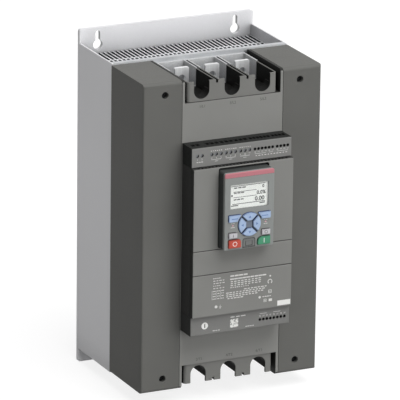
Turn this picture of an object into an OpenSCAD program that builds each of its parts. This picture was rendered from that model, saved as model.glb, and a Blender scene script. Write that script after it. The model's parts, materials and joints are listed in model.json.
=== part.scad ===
// Three-phase soft starter: a wall-hung power controller with a finned heat sink, moulded covers,
// open terminal pockets at both ends and a control module with a pull-off keypad.
// Millimetres. +X is right seen from the front, +Y runs into the wall and +Z is up.
// The origin is the middle of the back plate's rear face, on the wall.

/* [Body] */
// Width over the two side covers
body_w = 254; // [244:1:290]
// Height of the moulded covers
cover_h = 420; // [412:1:450]
// Depth of the moulded covers
cover_d = 100; // [92:1:130]

/* [Back plate] */
// How far the back plate reaches past the cooling duct at each end
plate_reach = 19; // [17:0.5:40]
// Thickness of the back plate
plate_t = 6; // [4:0.5:8]
// Radius of the back plate's corners
plate_r = 3; // [1:0.5:6]
// Distance between the two keyholes, and between the two lower holes
keyhole_span = 200; // [150:1:215]
// Radius of a keyhole's round part
keyhole_r = 6.75; // [6:0.25:8]
// Width of a keyhole's slot
keyhole_slot_w = 6.8; // [5:0.2:7]
// Drop from the plate's top edge to the keyhole's round part
keyhole_drop = 23; // [20:0.5:26]
// Rise of the keyhole's slot above its round part
keyhole_rise = 15.5; // [12:0.5:17]
// Radius of a lower mounting hole
lower_hole_r = 3.4; // [2.5:0.1:4.5]
// Rise from the plate's bottom edge to the lower holes
lower_hole_rise = 9; // [7:0.5:11]

/* [Cooling duct] */
// How far the side panels and the heat sink's base reach past the covers at each end
duct_reach = 2; // [0:0.5:10]
// Thickness of a side panel
panel_t = 2.5; // [1.5:0.5:4]
// Step from the covers' side in to the side panel
duct_inset = 0.8; // [0.4:0.2:3]
// Thickness of the heat sink's base
base_t = 8; // [6:0.5:9]
// Distance between fins
fin_pitch = 6.1; // [5:0.1:9]
// Thickness of a fin
fin_t = 2.2; // [1.4:0.1:3]
// Gap between the fins and the back plate
fin_gap = 1.5; // [0.5:0.5:6]
// Drop from the duct's top to the fins
fin_drop = 15; // [8:1:30]
// Thickness of the web across the fins
web_t = 3; // [1.5:0.5:5]
// Side of a square fan, which the duct is built round
fan_size = 92; // [80:1:110]
// Gap between a fan and the duct's front and back
fan_gap = 1.75; // [0.5:0.25:6]
// Height of a fan frame
fan_h = 25; // [20:1:32]
// Thickness of the fan tray's sheet
tray_t = 2; // [1:0.5:3]
// Number of blades on a fan
blade_count = 7; // [5:1:9]

/* [Covers] */
// Wall of the moulded covers
cover_wall = 2.5; // [1.5:0.25:3.5]
// Radius of the covers' top and bottom front edges
cover_edge_r = 5; // [3:0.5:7]
// Radius of the covers' upright outer edges
cover_side_r = 2.5; // [1:0.5:4]
// Seam between neighbouring mouldings
seam = 0.4; // [0.2:0.1:1]
// Distance from a cover's outer side to its screws
screw_inset_x = 30.7; // [24:0.1:34]
// Distance from a cover's end to its screws
screw_inset_z = 17.3; // [14:0.1:30]
// Radius of the recess round a cover screw
recess_r = 4.6; // [4:0.1:5.5]
// Depth of that recess
recess_d = 9; // [6:0.5:20]
// Radius of a cover screw's thread
screw_r = 2.5; // [2:0.1:3]

/* [Power terminals] */
// Distance between phases
phase_pitch = 43.5; // [41:0.5:50]
// Depth of a terminal pocket, from the covers' end to the centre panel's ledge
pocket_d = 31.5; // [27:0.5:40]
// Width of the centre panel's strip beside a pocket
strip_w = 3.6; // [2.5:0.1:6]
// Gap between a pocket's wall and the shroud
pocket_gap = 4.25; // [1:0.05:6]
// Width of a terminal bar
bar_w = 20; // [14:1:24]
// Thickness of a terminal bar
bar_t = 5; // [3:0.5:6]
// Distance from the heat sink's base to a bar's front face
bar_stand = 37.5; // [34:0.5:42]
// Drop from the covers' end to a bar's end
bar_drop = 2.3; // [1:0.1:8]
// Radius of the bolt hole in a bar
bolt_hole_r = 5.25; // [4:0.05:6]
// Width of a shroud's U-slot
slot_w = 22; // [16:0.5:26]
// Web under a U-slot
slot_sill = 3; // [2:0.5:5]
// Length of the collar behind a U-slot's round end
collar_len = 14; // [6:1:24]
// Step from the covers' front in to the shroud's front
shroud_setback = 2.5; // [0.5:0.5:5]
// Drop from the covers' end to the shroud's end
shroud_drop = 4.7; // [2:0.1:8]
// Front wall of a shroud
shroud_wall = 3; // [2:0.5:4]
// Radius of a shroud's front corners
shroud_r = 5; // [2:0.5:7]
// Drop from the covers' end to the insulator's end
insulator_drop = 3.5; // [2:0.1:8]
// Reach of the insulator's walls past the bars
insulator_lip = 3; // [1:0.5:8]
// Groove between two phases
groove_w = 3.1; // [1.6:0.1:4]
// Depth of the groove's notch in the shroud's front wall
groove_notch = 4.4; // [2:0.1:6]
// Wall on each side of a groove
barrier_t = 1.8; // [1.2:0.1:2.4]

/* [Power parts] */
// Height of a thyristor module's middle above the starter's middle
thyristor_z = 70; // [60:1:80]
// Width of a thyristor module
thyristor_w = 34; // [28:1:38]
// Length of a thyristor module
thyristor_h = 94; // [88:1:104]
// Distance between a thyristor module's two power terminals
thyristor_span = 60; // [50:1:66]
// Width of a bypass contactor
contactor_w = 38; // [30:1:40]
// Length of a bypass contactor
contactor_h = 110; // [90:1:120]
// Drop from the starter's middle to the current transformers
transformer_drop = 98; // [60:1:120]
// Width of a current transformer
transformer_w = 40; // [32:1:40]
// Height of a current transformer
transformer_h = 28; // [20:1:40]

/* [Control module] */
// Step from the centre panel's side in to the control module's side
module_inset = 0.6; // [0.2:0.1:3]
// Height of the module's top above the starter's middle
module_top = 126.2; // [120:0.1:135]
// Height of the terminal strip
strip_h = 26.3; // [22:0.1:32]
// Height of the slot cover
slot_cover_h = 33; // [24:0.1:40]
// Height of the lower cover
lower_cover_h = 57.6; // [40:0.1:64]
// Height of the lower strip
low_strip_h = 25.9; // [20:0.1:32]
// How far the module's covers stand in front of the centre panel
module_d = 36; // [34:0.5:44]
// How far the terminal strip stands in front of the centre panel
strip_d = 29; // [22:0.5:33]
// How far the lower strip stands in front of the centre panel
low_strip_d = 31; // [22:0.5:33]
// Wall of the control module's mouldings
module_wall = 2.2; // [1.6:0.1:3]
// Radius of the control module's front edges
module_r = 1.2; // [0.5:0.1:2]
// Depth of the module's covers
lid_d = 9; // [8:0.5:12]
// Pitch of the signal terminals
signal_pitch = 5.08; // [5:0.02:5.3]
// Pitch of the relay terminals
relay_pitch = 6.6; // [6.2:0.1:6.8]
// Radius of a signal terminal's screw hole
signal_r = 2; // [1.2:0.1:2]
// Radius of a relay terminal's screw hole
relay_r = 2.3; // [1.8:0.1:2.6]

/* [Keypad] */
// Width of the keypad
keypad_w = 70.8; // [68:0.2:80]
// Height of the keypad
keypad_h = 104.1; // [100:0.1:120]
// How far the keypad stands in front of the module's covers
keypad_proud = 17.5; // [15.5:0.5:24]
// Depth of the bay that holds the keypad
bay_d = 6; // [4:0.5:6.5]
// Gap round the keypad in its bay
bay_gap = 0.8; // [0.5:0.1:1.5]
// Finger gap above the keypad in its bay
finger_gap = 3; // [1:0.5:4]
// Wall of the keypad's mouldings
keypad_wall = 2; // [1.4:0.1:2.4]
// Radius of the keypad's corners
keypad_r = 3; // [2:0.5:6]
// Radius of the keypad's front edges
keypad_edge_r = 1.4; // [0.5:0.1:2]
// Height of the coloured strip along the keypad's top
accent_h = 6.3; // [4:0.1:9]
// Width of the display window
window_w = 54; // [44:0.5:58]
// Height of the display window
window_h = 32.6; // [26:0.1:33]
// Radius of the ring of navigation keys
ring_r = 16; // [14:0.5:17]
// How far a key stands out of the keypad
key_proud = 2.4; // [1.2:0.1:3]
// Travel of a key
key_travel = 1; // [0.5:0.1:1.2]

/* [Hidden] */
$fn = 48;
// Clearance between mouldings that fit together
fit = 0.3;
// Overrun of a cut past the face it opens
over = 1;

// Planes along Y, from the wall forwards
chassis_d = plate_t + fan_size + 2 * fan_gap + base_t;
plate_front = -plate_t;
duct_front = -chassis_d;
base_back = duct_front + base_t;
bar_front = duct_front - bar_stand;
bar_back = bar_front + bar_t;
insulator_front = bar_front - insulator_lip;
cover_front = duct_front - cover_d;
shroud_front = cover_front + shroud_setback;
module_front = cover_front - module_d;
lid_back = module_front + lid_d;
strip_front = cover_front - strip_d;
low_strip_front = cover_front - low_strip_d;
bay_floor = module_front + bay_d;
keypad_back = bay_floor - fit;
keypad_front_y = module_front - keypad_proud;

// Widths and heights that follow from the driving sizes
duct_h = cover_h + 2 * duct_reach;
plate_h = duct_h + 2 * plate_reach;
duct_w = body_w - 2 * duct_inset;
duct_inner_w = duct_w - 2 * panel_t;
chamber_w = phase_pitch - groove_w - 2 * barrier_t;
outer_t = barrier_t + fit;
shroud_w = 2 * phase_pitch + chamber_w + 2 * outer_t;
pocket_x = shroud_w / 2 + pocket_gap;
centre_w = 2 * (pocket_x + strip_w);
cover_inner_x = centre_w / 2 + seam;
module_w = centre_w - 2 * module_inset;
centre_h = cover_h - 2 * pocket_d;
ledge_z = centre_h / 2;
pocket_floor = ledge_z + fit;
floor_t = 2.5;
slot_z = pocket_floor + slot_sill + slot_w / 2;
bar_end = cover_h / 2 - bar_drop;
phases = [-phase_pitch, 0, phase_pitch];

// Recessed cover screws
screw_x = body_w / 2 - screw_inset_x;
screw_z = cover_h / 2 - screw_inset_z;
screw_head_r = recess_r - 0.4;
screw_head_h = 3.2;
screw_reach = base_t - 2;
boss_r = recess_r + cover_wall;

// Fins and fans
fin_top = duct_h / 2 - fin_drop;
tray_z = -duct_h / 2 + 4;
fan_floor = tray_z + tray_t;
fan_top = fan_floor + fan_h;
fin_bottom = fan_top + 3;
fin_len = chassis_d - base_t - plate_t - fin_gap;
fin_count = floor((duct_inner_w - fin_t) / fin_pitch);
web_y = plate_front - fin_gap - 0.43 * fin_len;
fan_y = (plate_front + base_back) / 2;
fan_x = fan_size / 2 + 6;
fan_bore_r = fan_size / 2 - 2;
hub_r = 18;
motor_h = 6;
spindle_r = 2;
running_gap = 0.5;
rotor_bottom = fan_floor + motor_h + running_gap;
rotor_h = fan_h - motor_h - 2;
blade_r = fan_bore_r - 1.5;

// Power parts
thyristor_base_t = 5;
post_r = 7;
terminal_z = [for (s = [-1, 1]) thyristor_z + s * thyristor_span / 2];
bar_overlap = 9;
contactor_foot = 5;
board_t = 1.6;
panel_clear = 7;
power_board_front = cover_front + cover_wall + panel_clear;
power_board_back = power_board_front + board_t;
contactor_front = power_board_back + 3;
transformer_top = transformer_h / 2 - transformer_drop;
pillar_r = 4;
pillar_x = phase_pitch + bar_w / 2 + pillar_r + 2;
pillar_z = ledge_z - cover_wall - 26;

// Control module, from the top down
main_top = module_top - strip_h;
cover_rim = 1.8;
keypad_top = main_top - cover_rim - finger_gap;
upper_cover_h = cover_rim + finger_gap + keypad_h + bay_gap + cover_rim;
slot_top = main_top - upper_cover_h;
lower_top = slot_top - slot_cover_h;
main_bottom = lower_top - lower_cover_h;
module_bottom = main_bottom - low_strip_h;
control_board_front = bay_floor + module_wall + 2;
control_board_back = control_board_front + board_t;
vent_pitch = 5;
vent_w = 3.4;
post_w = 6;

// Terminal rows, measured from the module's middle
supply_row = [for (i = [0, 1]) -module_w / 2 + 7.8 + i * relay_pitch];
relay_group = 3 * relay_pitch + 0.6;
relay_rows = [for (g = [0 : 2], i = [0 : 2]) 28.2 - module_w / 2 + g * relay_group + i * relay_pitch];
signal_row = [for (i = [0 : 3]) module_w / 2 - 5.4 - i * signal_pitch];
analog_row = [for (i = [0 : 5]) module_w / 2 - 27.2 - i * signal_pitch];
lower_row = [for (i = [0 : 7]) module_w / 2 - 6.9 - i * signal_pitch];
power_poles = concat(supply_row, relay_rows);
signal_poles = concat(signal_row, analog_row);
terminal_z_up = main_top + strip_h * 0.6;
lower_terminal_z = main_bottom - low_strip_h * 0.6;
relay_depth = 5;
signal_depth = 9;
power_entry_w = 5;
signal_entry_w = 4;
entry_l = 8;
entry_depth = 17;
entry_setback = 10.5;
slotted_h = 3;

// Keypad, measured from the middle of the ring of navigation keys
keypad_bottom = keypad_top - keypad_h;
socket_z = (keypad_top + keypad_bottom) / 2;
ring_z = keypad_bottom + 32.9;
ring_gap = 2;
ring_split = 2.2;
ring_inner = 5;
skirt_d = 5;
bezel_back = keypad_front_y + keypad_wall;
case_front = keypad_front_y + skirt_d;
flange_t = 1;
key_gap = 0.5;
flange_w = key_gap + fit;
key_crown = 0.7;
plunger_len = 3.2;
dome_h = 0.8;
key_flange_back = bezel_back + fit + flange_t;
dome_top = key_flange_back + plunger_len + key_travel + 0.1;
keypad_board_front = dome_top + dome_h;
keypad_board_back = keypad_board_front + board_t;
accent_bottom = keypad_top - accent_h;
accent_t = 0.6 * keypad_wall;
window_z = ring_z + 22.5 + window_h / 2;
window_t = 1.5;
window_sink = 0.5;
window_lip = 1.5;
socket = [24, 12];
socket_reach = 4;
lamp_r = 1.2;
lamp_places = [[-23.5, 0.5], [23.5, 0.5]];
soft_lo = [12.4, 5.4];
soft_hi = [30, 14.7];
grey_lo = [17.4, -16.6];
grey_hi = [29.7, -9.1];
stop_lo = [-29.7, -29.6];
stop_hi = [-12.1, -18.6];
start_lo = [11.7, -29.6];
start_hi = [30, -18.6];
small_r = 1.2;
soft_mid = [(soft_lo.x + soft_hi.x) / 2 + 2, (soft_lo.y + soft_hi.y) / 2];
grey_mid = (grey_lo + grey_hi) / 2;
stop_mid = (stop_lo + stop_hi) / 2;
start_mid = (start_lo + start_hi) / 2;
ring_mid = (ring_inner + ring_r) / 2;
dome_places = [soft_mid, [-soft_mid.x, soft_mid.y], grey_mid, [-grey_mid.x, grey_mid.y],
    stop_mid, start_mid, [ring_mid, 0], [0, ring_mid], [-ring_mid, 0], [0, -ring_mid]];
port_w = 18;
port_t = keypad_wall;
port_top = -18.9;
port_axis = [keypad_front_y + port_t / 2, -30.2];
port_pin_r = 0.5;
port_pin_len = 0.7;

// A box between two corners
module block(lo, hi) {
    translate(lo) cube(hi - lo);
}

// A flat outline in X and Z, extruded forwards (towards -Y) from the plane y
module forwards(y, depth) {
    translate([0, y, 0]) rotate([90, 0, 0]) linear_extrude(depth) children();
}

// A flat outline in Y and Z, extruded to the right from the plane x
module across(x, width) {
    translate([x, 0, 0]) rotate([90, 0, 90]) linear_extrude(width) children();
}

// A rectangle with its own radius at each corner: low left, low right, high right, high left
module rounded(lo, hi, radii) {
    corners = [lo, [hi.x, lo.y], hi, [lo.x, hi.y]];
    inward = [[1, 1], [-1, 1], [-1, -1], [1, -1]];
    difference() {
        translate(lo) square(hi - lo);
        for (i = [0 : 3]) if (radii[i] > 0) difference() {
            translate(corners[i]) square(2 * radii[i], center = true);
            translate(corners[i] + radii[i] * inward[i]) circle(radii[i]);
        }
    }
}

// A box whose front edges are round: edge_r at its ends, left_r and right_r at its sides
module front_box(lo, hi, edge_r, left_r, right_r) {
    intersection() {
        across(lo.x, hi.x - lo.x) rounded([lo.y, lo.z], [hi.y, hi.z], [edge_r, 0, 0, edge_r]);
        translate([0, 0, lo.z]) linear_extrude(hi.z - lo.z)
            rounded([lo.x, lo.y], [hi.x, hi.y], [left_r, right_r, 0, 0]);
    }
}

// A round rod or hole along Y, from the plane y forwards
module rod(x, y, z, r, length) {
    translate([x, y, z]) rotate([90, 0, 0]) cylinder(r = r, h = length);
}

module keyhole(x) {
    z = plate_h / 2 - keyhole_drop;
    translate([x, z]) circle(keyhole_r);
    translate([x - keyhole_slot_w / 2, z]) square([keyhole_slot_w, keyhole_rise]);
    translate([x, z + keyhole_rise]) circle(keyhole_slot_w / 2);
}

module back_plate() {
    color("#d9dadb") forwards(0, plate_t) difference() {
        rounded([-duct_w / 2, -plate_h / 2], [duct_w / 2, plate_h / 2], plate_r * [1, 1, 1, 1]);
        for (s = [-1, 1]) {
            keyhole(s * keyhole_span / 2);
            translate([s * keyhole_span / 2, lower_hole_rise - plate_h / 2]) circle(lower_hole_r);
        }
    }
}

// A flat sheet between the back plate and the covers, against the heat sink's edge
module side_panel() {
    block([-duct_w / 2, duct_front, -duct_h / 2], [-duct_inner_w / 2, plate_front, duct_h / 2]);
}

module left_side_panel() {
    color("#cfd0d2") side_panel();
}

module right_side_panel() {
    color("#cfd0d2") mirror([1, 0, 0]) side_panel();
}

// Fins bonded to the base, with a web across them
module heat_sink_fins() {
    color("#d3d5d7") translate([0, 0, fin_bottom]) linear_extrude(fin_top - fin_bottom) {
        for (i = [0 : fin_count]) translate([(i - fin_count / 2) * fin_pitch - fin_t / 2, base_back])
            square([fin_t, fin_len]);
        translate([-fin_count / 2 * fin_pitch, web_y]) square([fin_count * fin_pitch, web_t]);
    }
}

module heat_sink_base() {
    color("#c9cbcd") difference() {
        block([-duct_inner_w / 2, duct_front, -duct_h / 2], [duct_inner_w / 2, base_back, duct_h / 2]);
        for (x = [-1, 1], z = [-1, 1]) rod(x * screw_x, duct_front + screw_reach + fit, z * screw_z,
            screw_r + fit / 3, screw_reach + fit + over);
    }
}

// A folded tray across the bottom of the duct, open under each fan
module fan_tray() {
    lip = 10;
    color("#c4c6c8") difference() {
        union() {
            block([-duct_inner_w / 2, base_back, tray_z], [duct_inner_w / 2, plate_front, fan_floor]);
            for (s = [0, 1]) mirror([s, 0, 0]) block([-duct_inner_w / 2, base_back, tray_z],
                [tray_t - duct_inner_w / 2, plate_front, tray_z + lip]);
        }
        for (s = [-1, 1]) translate([s * fan_x, fan_y, tray_z - over])
            cylinder(r = fan_bore_r, h = tray_t + 2 * over);
    }
}

// One square fan frame: its bore, the motor on four struts and the spindle
module fan_frame(x) {
    strut_w = 4;
    strut_h = 3;
    translate([x, fan_y, fan_floor]) {
        difference() {
            linear_extrude(fan_h) rounded(-fan_size / 2 * [1, 1], fan_size / 2 * [1, 1], 4 * [1, 1, 1, 1]);
            translate([0, 0, -over]) cylinder(r = fan_bore_r, h = fan_h + 2 * over);
        }
        for (a = [45, 135]) rotate(a) translate([-fan_bore_r - over, -strut_w / 2, 0])
            cube([2 * (fan_bore_r + over), strut_w, strut_h]);
        cylinder(r = hub_r, h = motor_h);
        cylinder(r = spindle_r, h = motor_h + rotor_h - 2);
    }
}

module fan_frames() {
    color("#26282a") for (s = [-1, 1]) fan_frame(s * fan_x);
}

// Hub and pitched blades, bored for the spindle
module fan_rotor(x) {
    blade_t = 1.6;
    blade_chord = 22;
    blade_pitch = 40;
    color("#1f2123") translate([x, fan_y, rotor_bottom]) difference() {
        union() {
            cylinder(r = hub_r, h = rotor_h);
            intersection() {
                difference() {
                    cylinder(r = blade_r, h = rotor_h);
                    translate([0, 0, -over]) cylinder(r = hub_r - over, h = rotor_h + 2 * over);
                }
                for (i = [0 : blade_count - 1]) rotate(i * 360 / blade_count) translate([0, 0, rotor_h / 2])
                    rotate([blade_pitch, 0, 0]) translate([hub_r / 2, -blade_chord / 2, -blade_t / 2])
                        cube([blade_r, blade_chord, blade_t]);
            }
        }
        translate([0, 0, -over]) cylinder(r = spindle_r + 0.15, h = rotor_h - 1 + over);
    }
}

module fan_rotor_left() {
    fan_rotor(-fan_x);
}

module fan_rotor_right() {
    fan_rotor(fan_x);
}

// Left-hand cover: a shell open at the back, with a screw boss near each end
module side_cover() {
    lo = [-body_w / 2, cover_front, -cover_h / 2];
    hi = [-cover_inner_x, duct_front, cover_h / 2];
    inner_r = cover_edge_r - cover_wall;
    difference() {
        union() {
            difference() {
                front_box(lo, hi, cover_edge_r, cover_side_r, seam);
                front_box(lo + cover_wall * [1, 1, 1], hi + [-cover_wall, over, -cover_wall],
                    inner_r, 0, 0);
            }
            for (s = [-1, 1]) rod(-screw_x, duct_front, s * screw_z, boss_r, cover_d - cover_wall / 2);
        }
        for (s = [-1, 1]) {
            rod(-screw_x, cover_front + recess_d, s * screw_z, recess_r, recess_d + over);
            rod(-screw_x, duct_front + over, s * screw_z, screw_r + fit, cover_d);
        }
    }
}

module left_cover() {
    color("#6b6b69") side_cover();
}

module right_cover() {
    color("#6b6b69") mirror([1, 0, 0]) side_cover();
}

// Pan-head screws that hold the covers to the heat sink, with a cross recess
module cover_screws() {
    cross = [4.4, 1];
    cross_d = 1.5;
    seat = cover_front + recess_d;
    color("#8d8f92") for (x = [-1, 1], z = [-1, 1]) difference() {
        union() {
            rod(x * screw_x, seat, z * screw_z, screw_head_r, screw_head_h);
            rod(x * screw_x, duct_front + screw_reach, z * screw_z, screw_r,
                duct_front + screw_reach - seat + over);
        }
        for (a = [0, 90]) translate([x * screw_x, seat - screw_head_h + cross_d, z * screw_z])
            rotate([90, a, 0]) linear_extrude(cross_d + over) square(cross, center = true);
    }
}

// Centre panel: front wall, side strips the full height and a ledge under each terminal pocket
module centre_panel() {
    color("#82827f") difference() {
        front_box([-centre_w / 2, cover_front, -cover_h / 2], [centre_w / 2, duct_front, cover_h / 2],
            cover_edge_r, seam, seam);
        for (s = [0, 1]) mirror([0, 0, s]) block([-pocket_x, cover_front - over, ledge_z],
            [pocket_x, duct_front + over, cover_h / 2 + over]);
        block([-pocket_x, cover_front + cover_wall, cover_wall - ledge_z],
            [pocket_x, duct_front + over, ledge_z - cover_wall]);
        for (c = phases) bar_passage(c, -cover_h / 2, cover_h / 2);
    }
}

// Clear way for a bar through a moulded floor
module bar_passage(c, low, high) {
    block([c - bar_w / 2 - fit, bar_front - fit, low], [c + bar_w / 2 + fit, bar_back + fit, high]);
}

// The outline of a U-slot, open at the top
module u_slot(r, top) {
    translate([0, slot_z]) circle(r);
    translate([-r, slot_z]) square([2 * r, top - slot_z]);
}

// The two grooves between the phases
module grooves(front, back, low, top) {
    for (s = [-1, 1]) translate([s * phase_pitch / 2, 0, 0])
        block([-groove_w / 2, front, low], [groove_w / 2, back, top]);
}

// Chambers and grooves shared by the shroud and the insulator, cut down to the floor
module chambers(front, back, top) {
    low = pocket_floor + floor_t;
    for (c = phases) block([c - chamber_w / 2, front, low], [c + chamber_w / 2, back, top]);
    grooves(front, back, low, top);
}

// Terminal shroud of the top pocket: front wall with three U-slots, barriers and a floor
module shroud() {
    back = insulator_front - fit;
    top = cover_h / 2 - shroud_drop;
    inside = shroud_front + shroud_wall;
    notch_z = top - groove_notch + groove_w / 2;
    collar_t = 2;
    difference() {
        union() {
            difference() {
                translate([0, 0, pocket_floor]) linear_extrude(top - pocket_floor)
                    rounded([-shroud_w / 2, shroud_front], [shroud_w / 2, back],
                        [shroud_r, shroud_r, 0, 0]);
                chambers(inside, back + over, top + over);
                grooves(shroud_front - over, inside + over, notch_z, top + over);
                for (s = [-1, 1]) rod(s * phase_pitch / 2, inside + over, notch_z, groove_w / 2,
                    shroud_wall + 2 * over);
            }
            forwards(inside + collar_len, collar_len + over) for (c = phases) translate([c, 0])
                intersection() {
                    u_slot(slot_w / 2 + collar_t, top);
                    translate([-slot_w, pocket_floor]) square([2 * slot_w, slot_z - pocket_floor]);
                }
        }
        forwards(inside + collar_len + over, collar_len + shroud_wall + 2 * over)
            for (c = phases) translate([c, 0]) u_slot(slot_w / 2, top + over);
    }
}

module top_shroud() {
    color("#8a8a86") shroud();
}

module bottom_shroud() {
    color("#8a8a86") mirror([0, 0, 1]) shroud();
}

// Pale insulator behind the shroud: back wall, barriers and a floor that the bars pass through
module insulator() {
    back_wall = 3;
    top = cover_h / 2 - insulator_drop;
    difference() {
        block([-shroud_w / 2, insulator_front, pocket_floor], [shroud_w / 2, duct_front, top]);
        chambers(insulator_front - over, duct_front - back_wall, top + over);
        for (c = phases) bar_passage(c, pocket_floor - over, top);
    }
}

module top_insulator() {
    color("#d2d2cf") insulator();
}

module bottom_insulator() {
    color("#d2d2cf") mirror([0, 0, 1]) insulator();
}

// A flat bar between two heights, drilled near both ends
module bar(c, low, high, holes) {
    end_r = 2;
    color("#c8c8c6") translate([c, 0, 0]) forwards(bar_back, bar_t) difference() {
        rounded([-bar_w / 2, low], [bar_w / 2, high], end_r * [1, 1, 1, 1]);
        for (h = holes) translate([0, h[0]]) circle(h[1]);
    }
}

module line_bar(c) {
    bar(c, terminal_z[1] - bar_overlap, bar_end, [[slot_z, bolt_hole_r], [terminal_z[1], screw_r + fit]]);
}

module load_bar(c) {
    bar(c, -bar_end, terminal_z[0] + bar_overlap, [[-slot_z, bolt_hole_r], [terminal_z[0], screw_r + fit]]);
}

// Thyristor module: base plate with two fixing holes, housing and two terminal posts
module thyristor_module(c) {
    housing_top = bar_back + 6;
    fixing_r = 3.2;
    shelf = [2, 11];
    color("#2b2d30") difference() {
        union() {
            translate([c, 0, thyristor_z]) {
                forwards(duct_front, thyristor_base_t) rounded([-thyristor_w, -thyristor_h] / 2,
                    [thyristor_w, thyristor_h] / 2, 2 * [1, 1, 1, 1]);
                forwards(duct_front - thyristor_base_t, duct_front - thyristor_base_t - housing_top)
                    rounded(shelf - [thyristor_w, thyristor_h] / 2,
                        [thyristor_w, thyristor_h] / 2 - shelf, 2 * [1, 1, 1, 1]);
            }
            for (z = terminal_z) rod(c, housing_top, z, post_r, housing_top - bar_back);
        }
        for (s = [-1, 1]) rod(c, duct_front + over, thyristor_z + s * (thyristor_h / 2 - 6), fixing_r,
            thyristor_base_t + 2 * over);
        for (z = terminal_z) rod(c, bar_back + 12, z, screw_r, 12 + over);
    }
}

// Single-pole bypass contactor, bolted by its two feet to the line bar and the load bar
module bypass_contactor(c) {
    foot = [contactor_w / 2, 16];
    chute_in = [4, 12];
    chute_d = 14;
    shoulder = bar_front - contactor_foot;
    color("#35373a") {
        for (z = terminal_z) translate([c, 0, z]) forwards(bar_front, contactor_foot + over)
            square(foot, center = true);
        translate([c, 0, thyristor_z]) {
            forwards(shoulder, shoulder - contactor_front - chute_d)
                rounded([-contactor_w, -contactor_h] / 2, [contactor_w, contactor_h] / 2, 3 * [1, 1, 1, 1]);
            forwards(contactor_front + chute_d + over, chute_d + over) difference() {
                rounded(chute_in - [contactor_w, contactor_h] / 2,
                    [contactor_w, contactor_h] / 2 - chute_in, 2 * [1, 1, 1, 1]);
                for (s = [-1 : 1]) translate([0, s * contactor_h / 4])
                    square([contactor_w / 2, 4], center = true);
            }
        }
    }
}

// Current transformer: a moulded ring on a foot, with a window that the load bar passes through
module current_transformer(c) {
    ring_front = bar_front - 16;
    color("#3a3f45") difference() {
        translate([c, 0, -transformer_drop]) forwards(duct_front, duct_front - ring_front)
            rounded([-transformer_w, -transformer_h] / 2, [transformer_w, transformer_h] / 2,
                3 * [1, 1, 1, 1]);
        bar_passage(c, -transformer_drop - transformer_h, -transformer_drop + transformer_h);
    }
}

// Power board with its largest parts: two capacitors, a transformer and the firing connectors
module power_board() {
    half_x = pillar_x + pillar_r + 1;
    half_z = pillar_z + pillar_r + 2;
    part_h = panel_clear - 2;
    plug = [18, 9];
    plug_z = transformer_top + plug.y;
    coil = [40, 30];
    coil_z = -pillar_z + coil.y / 2 + pillar_r;
    can_r = 9;
    can_z = coil_z + coil.y / 2 + can_r + 6;
    color("#2f6b4a") {
        forwards(power_board_back, board_t) difference() {
            rounded([-half_x, -half_z], [half_x, half_z], 2 * [1, 1, 1, 1]);
            for (x = [-1, 1], z = [-1, 1]) translate([x * pillar_x, z * pillar_z]) circle(1.6);
        }
        for (c = phases) translate([c, 0, plug_z]) forwards(power_board_front, part_h)
            square(plug, center = true);
        for (s = [-1, 1]) rod(s * (can_r + pillar_x) / 2, power_board_front, can_z, can_r, part_h);
        translate([0, 0, coil_z]) forwards(power_board_front, part_h) square(coil, center = true);
    }
}

module board_pillars() {
    color("#b9bbbd") for (x = [-1, 1], z = [-1, 1]) difference() {
        rod(x * pillar_x, duct_front, z * pillar_z, pillar_r, duct_front - power_board_back);
        rod(x * pillar_x, power_board_back + 8, z * pillar_z, 1.6, 8 + over);
    }
}

// Rear housing of the control module: an open tray with four board posts
module control_case() {
    half_w = module_w / 2;
    half_b = half_w - module_wall - post_w / 2 - fit;
    post_back = cover_front - module_wall;
    low = main_bottom + seam / 2;
    high = main_top - seam / 2;
    color("#4a4b4b") {
        difference() {
            block([-half_w, lid_back + fit, low], [half_w, cover_front, high]);
            block([module_wall - half_w, lid_back - over, low + module_wall],
                [half_w - module_wall, post_back, high - module_wall]);
        }
        for (x = [-1, 1], z = [main_bottom + 12, main_top - 12]) translate([x * half_b, 0, z])
            forwards(post_back + over, post_back + over - control_board_back)
                square(post_w, center = true);
    }
}

// Control board with the keypad's socket, which reaches through the bay's floor
module control_board() {
    half_w = module_w / 2 - module_wall - fit;
    socket_front = keypad_back - socket_reach + fit;
    color("#2c5f86") {
        forwards(control_board_back, board_t) rounded([-half_w, main_bottom + 6], [half_w, main_top - 6],
            2 * [1, 1, 1, 1]);
        translate([0, 0, socket_z]) forwards(control_board_front, control_board_front - socket_front)
            square(socket, center = true);
        for (z = [lower_top - 14, lower_top - 34], x = [-40, 0, 40]) translate([x, 0, z])
            forwards(control_board_front, 2.5) square([22, 10], center = true);
    }
}

// Terminal block: round screw holes in front and square wire entries in the end face
module pole_holes(front, z, poles, r, depth) {
    for (x = poles) rod(x, front + depth, z, r, depth + over);
}

module wire_entries(front, end, poles, w) {
    for (x = poles) translate([x - w / 2, front + entry_setback, end - entry_depth])
        cube([w, entry_l, entry_depth + over]);
}

module terminal_strip() {
    color("#7f7f7c") difference() {
        front_box([-module_w / 2, strip_front, main_top + seam / 2],
            [module_w / 2, cover_front, module_top], module_r, module_r, module_r);
        pole_holes(strip_front, terminal_z_up, power_poles, relay_r, relay_depth);
        pole_holes(strip_front, terminal_z_up, signal_poles, signal_r, signal_depth);
        wire_entries(strip_front, module_top, power_poles, power_entry_w);
        wire_entries(strip_front, module_top, signal_poles, signal_entry_w);
    }
}

module lower_strip() {
    color("#7f7f7c") difference() {
        front_box([-module_w / 2, low_strip_front, module_bottom],
            [module_w / 2, cover_front, main_bottom - seam / 2], module_r, module_r, module_r);
        pole_holes(low_strip_front, lower_terminal_z, lower_row, signal_r, signal_depth);
        mirror([0, 0, 1]) wire_entries(low_strip_front, -module_bottom, lower_row, signal_entry_w);
    }
}

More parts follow.
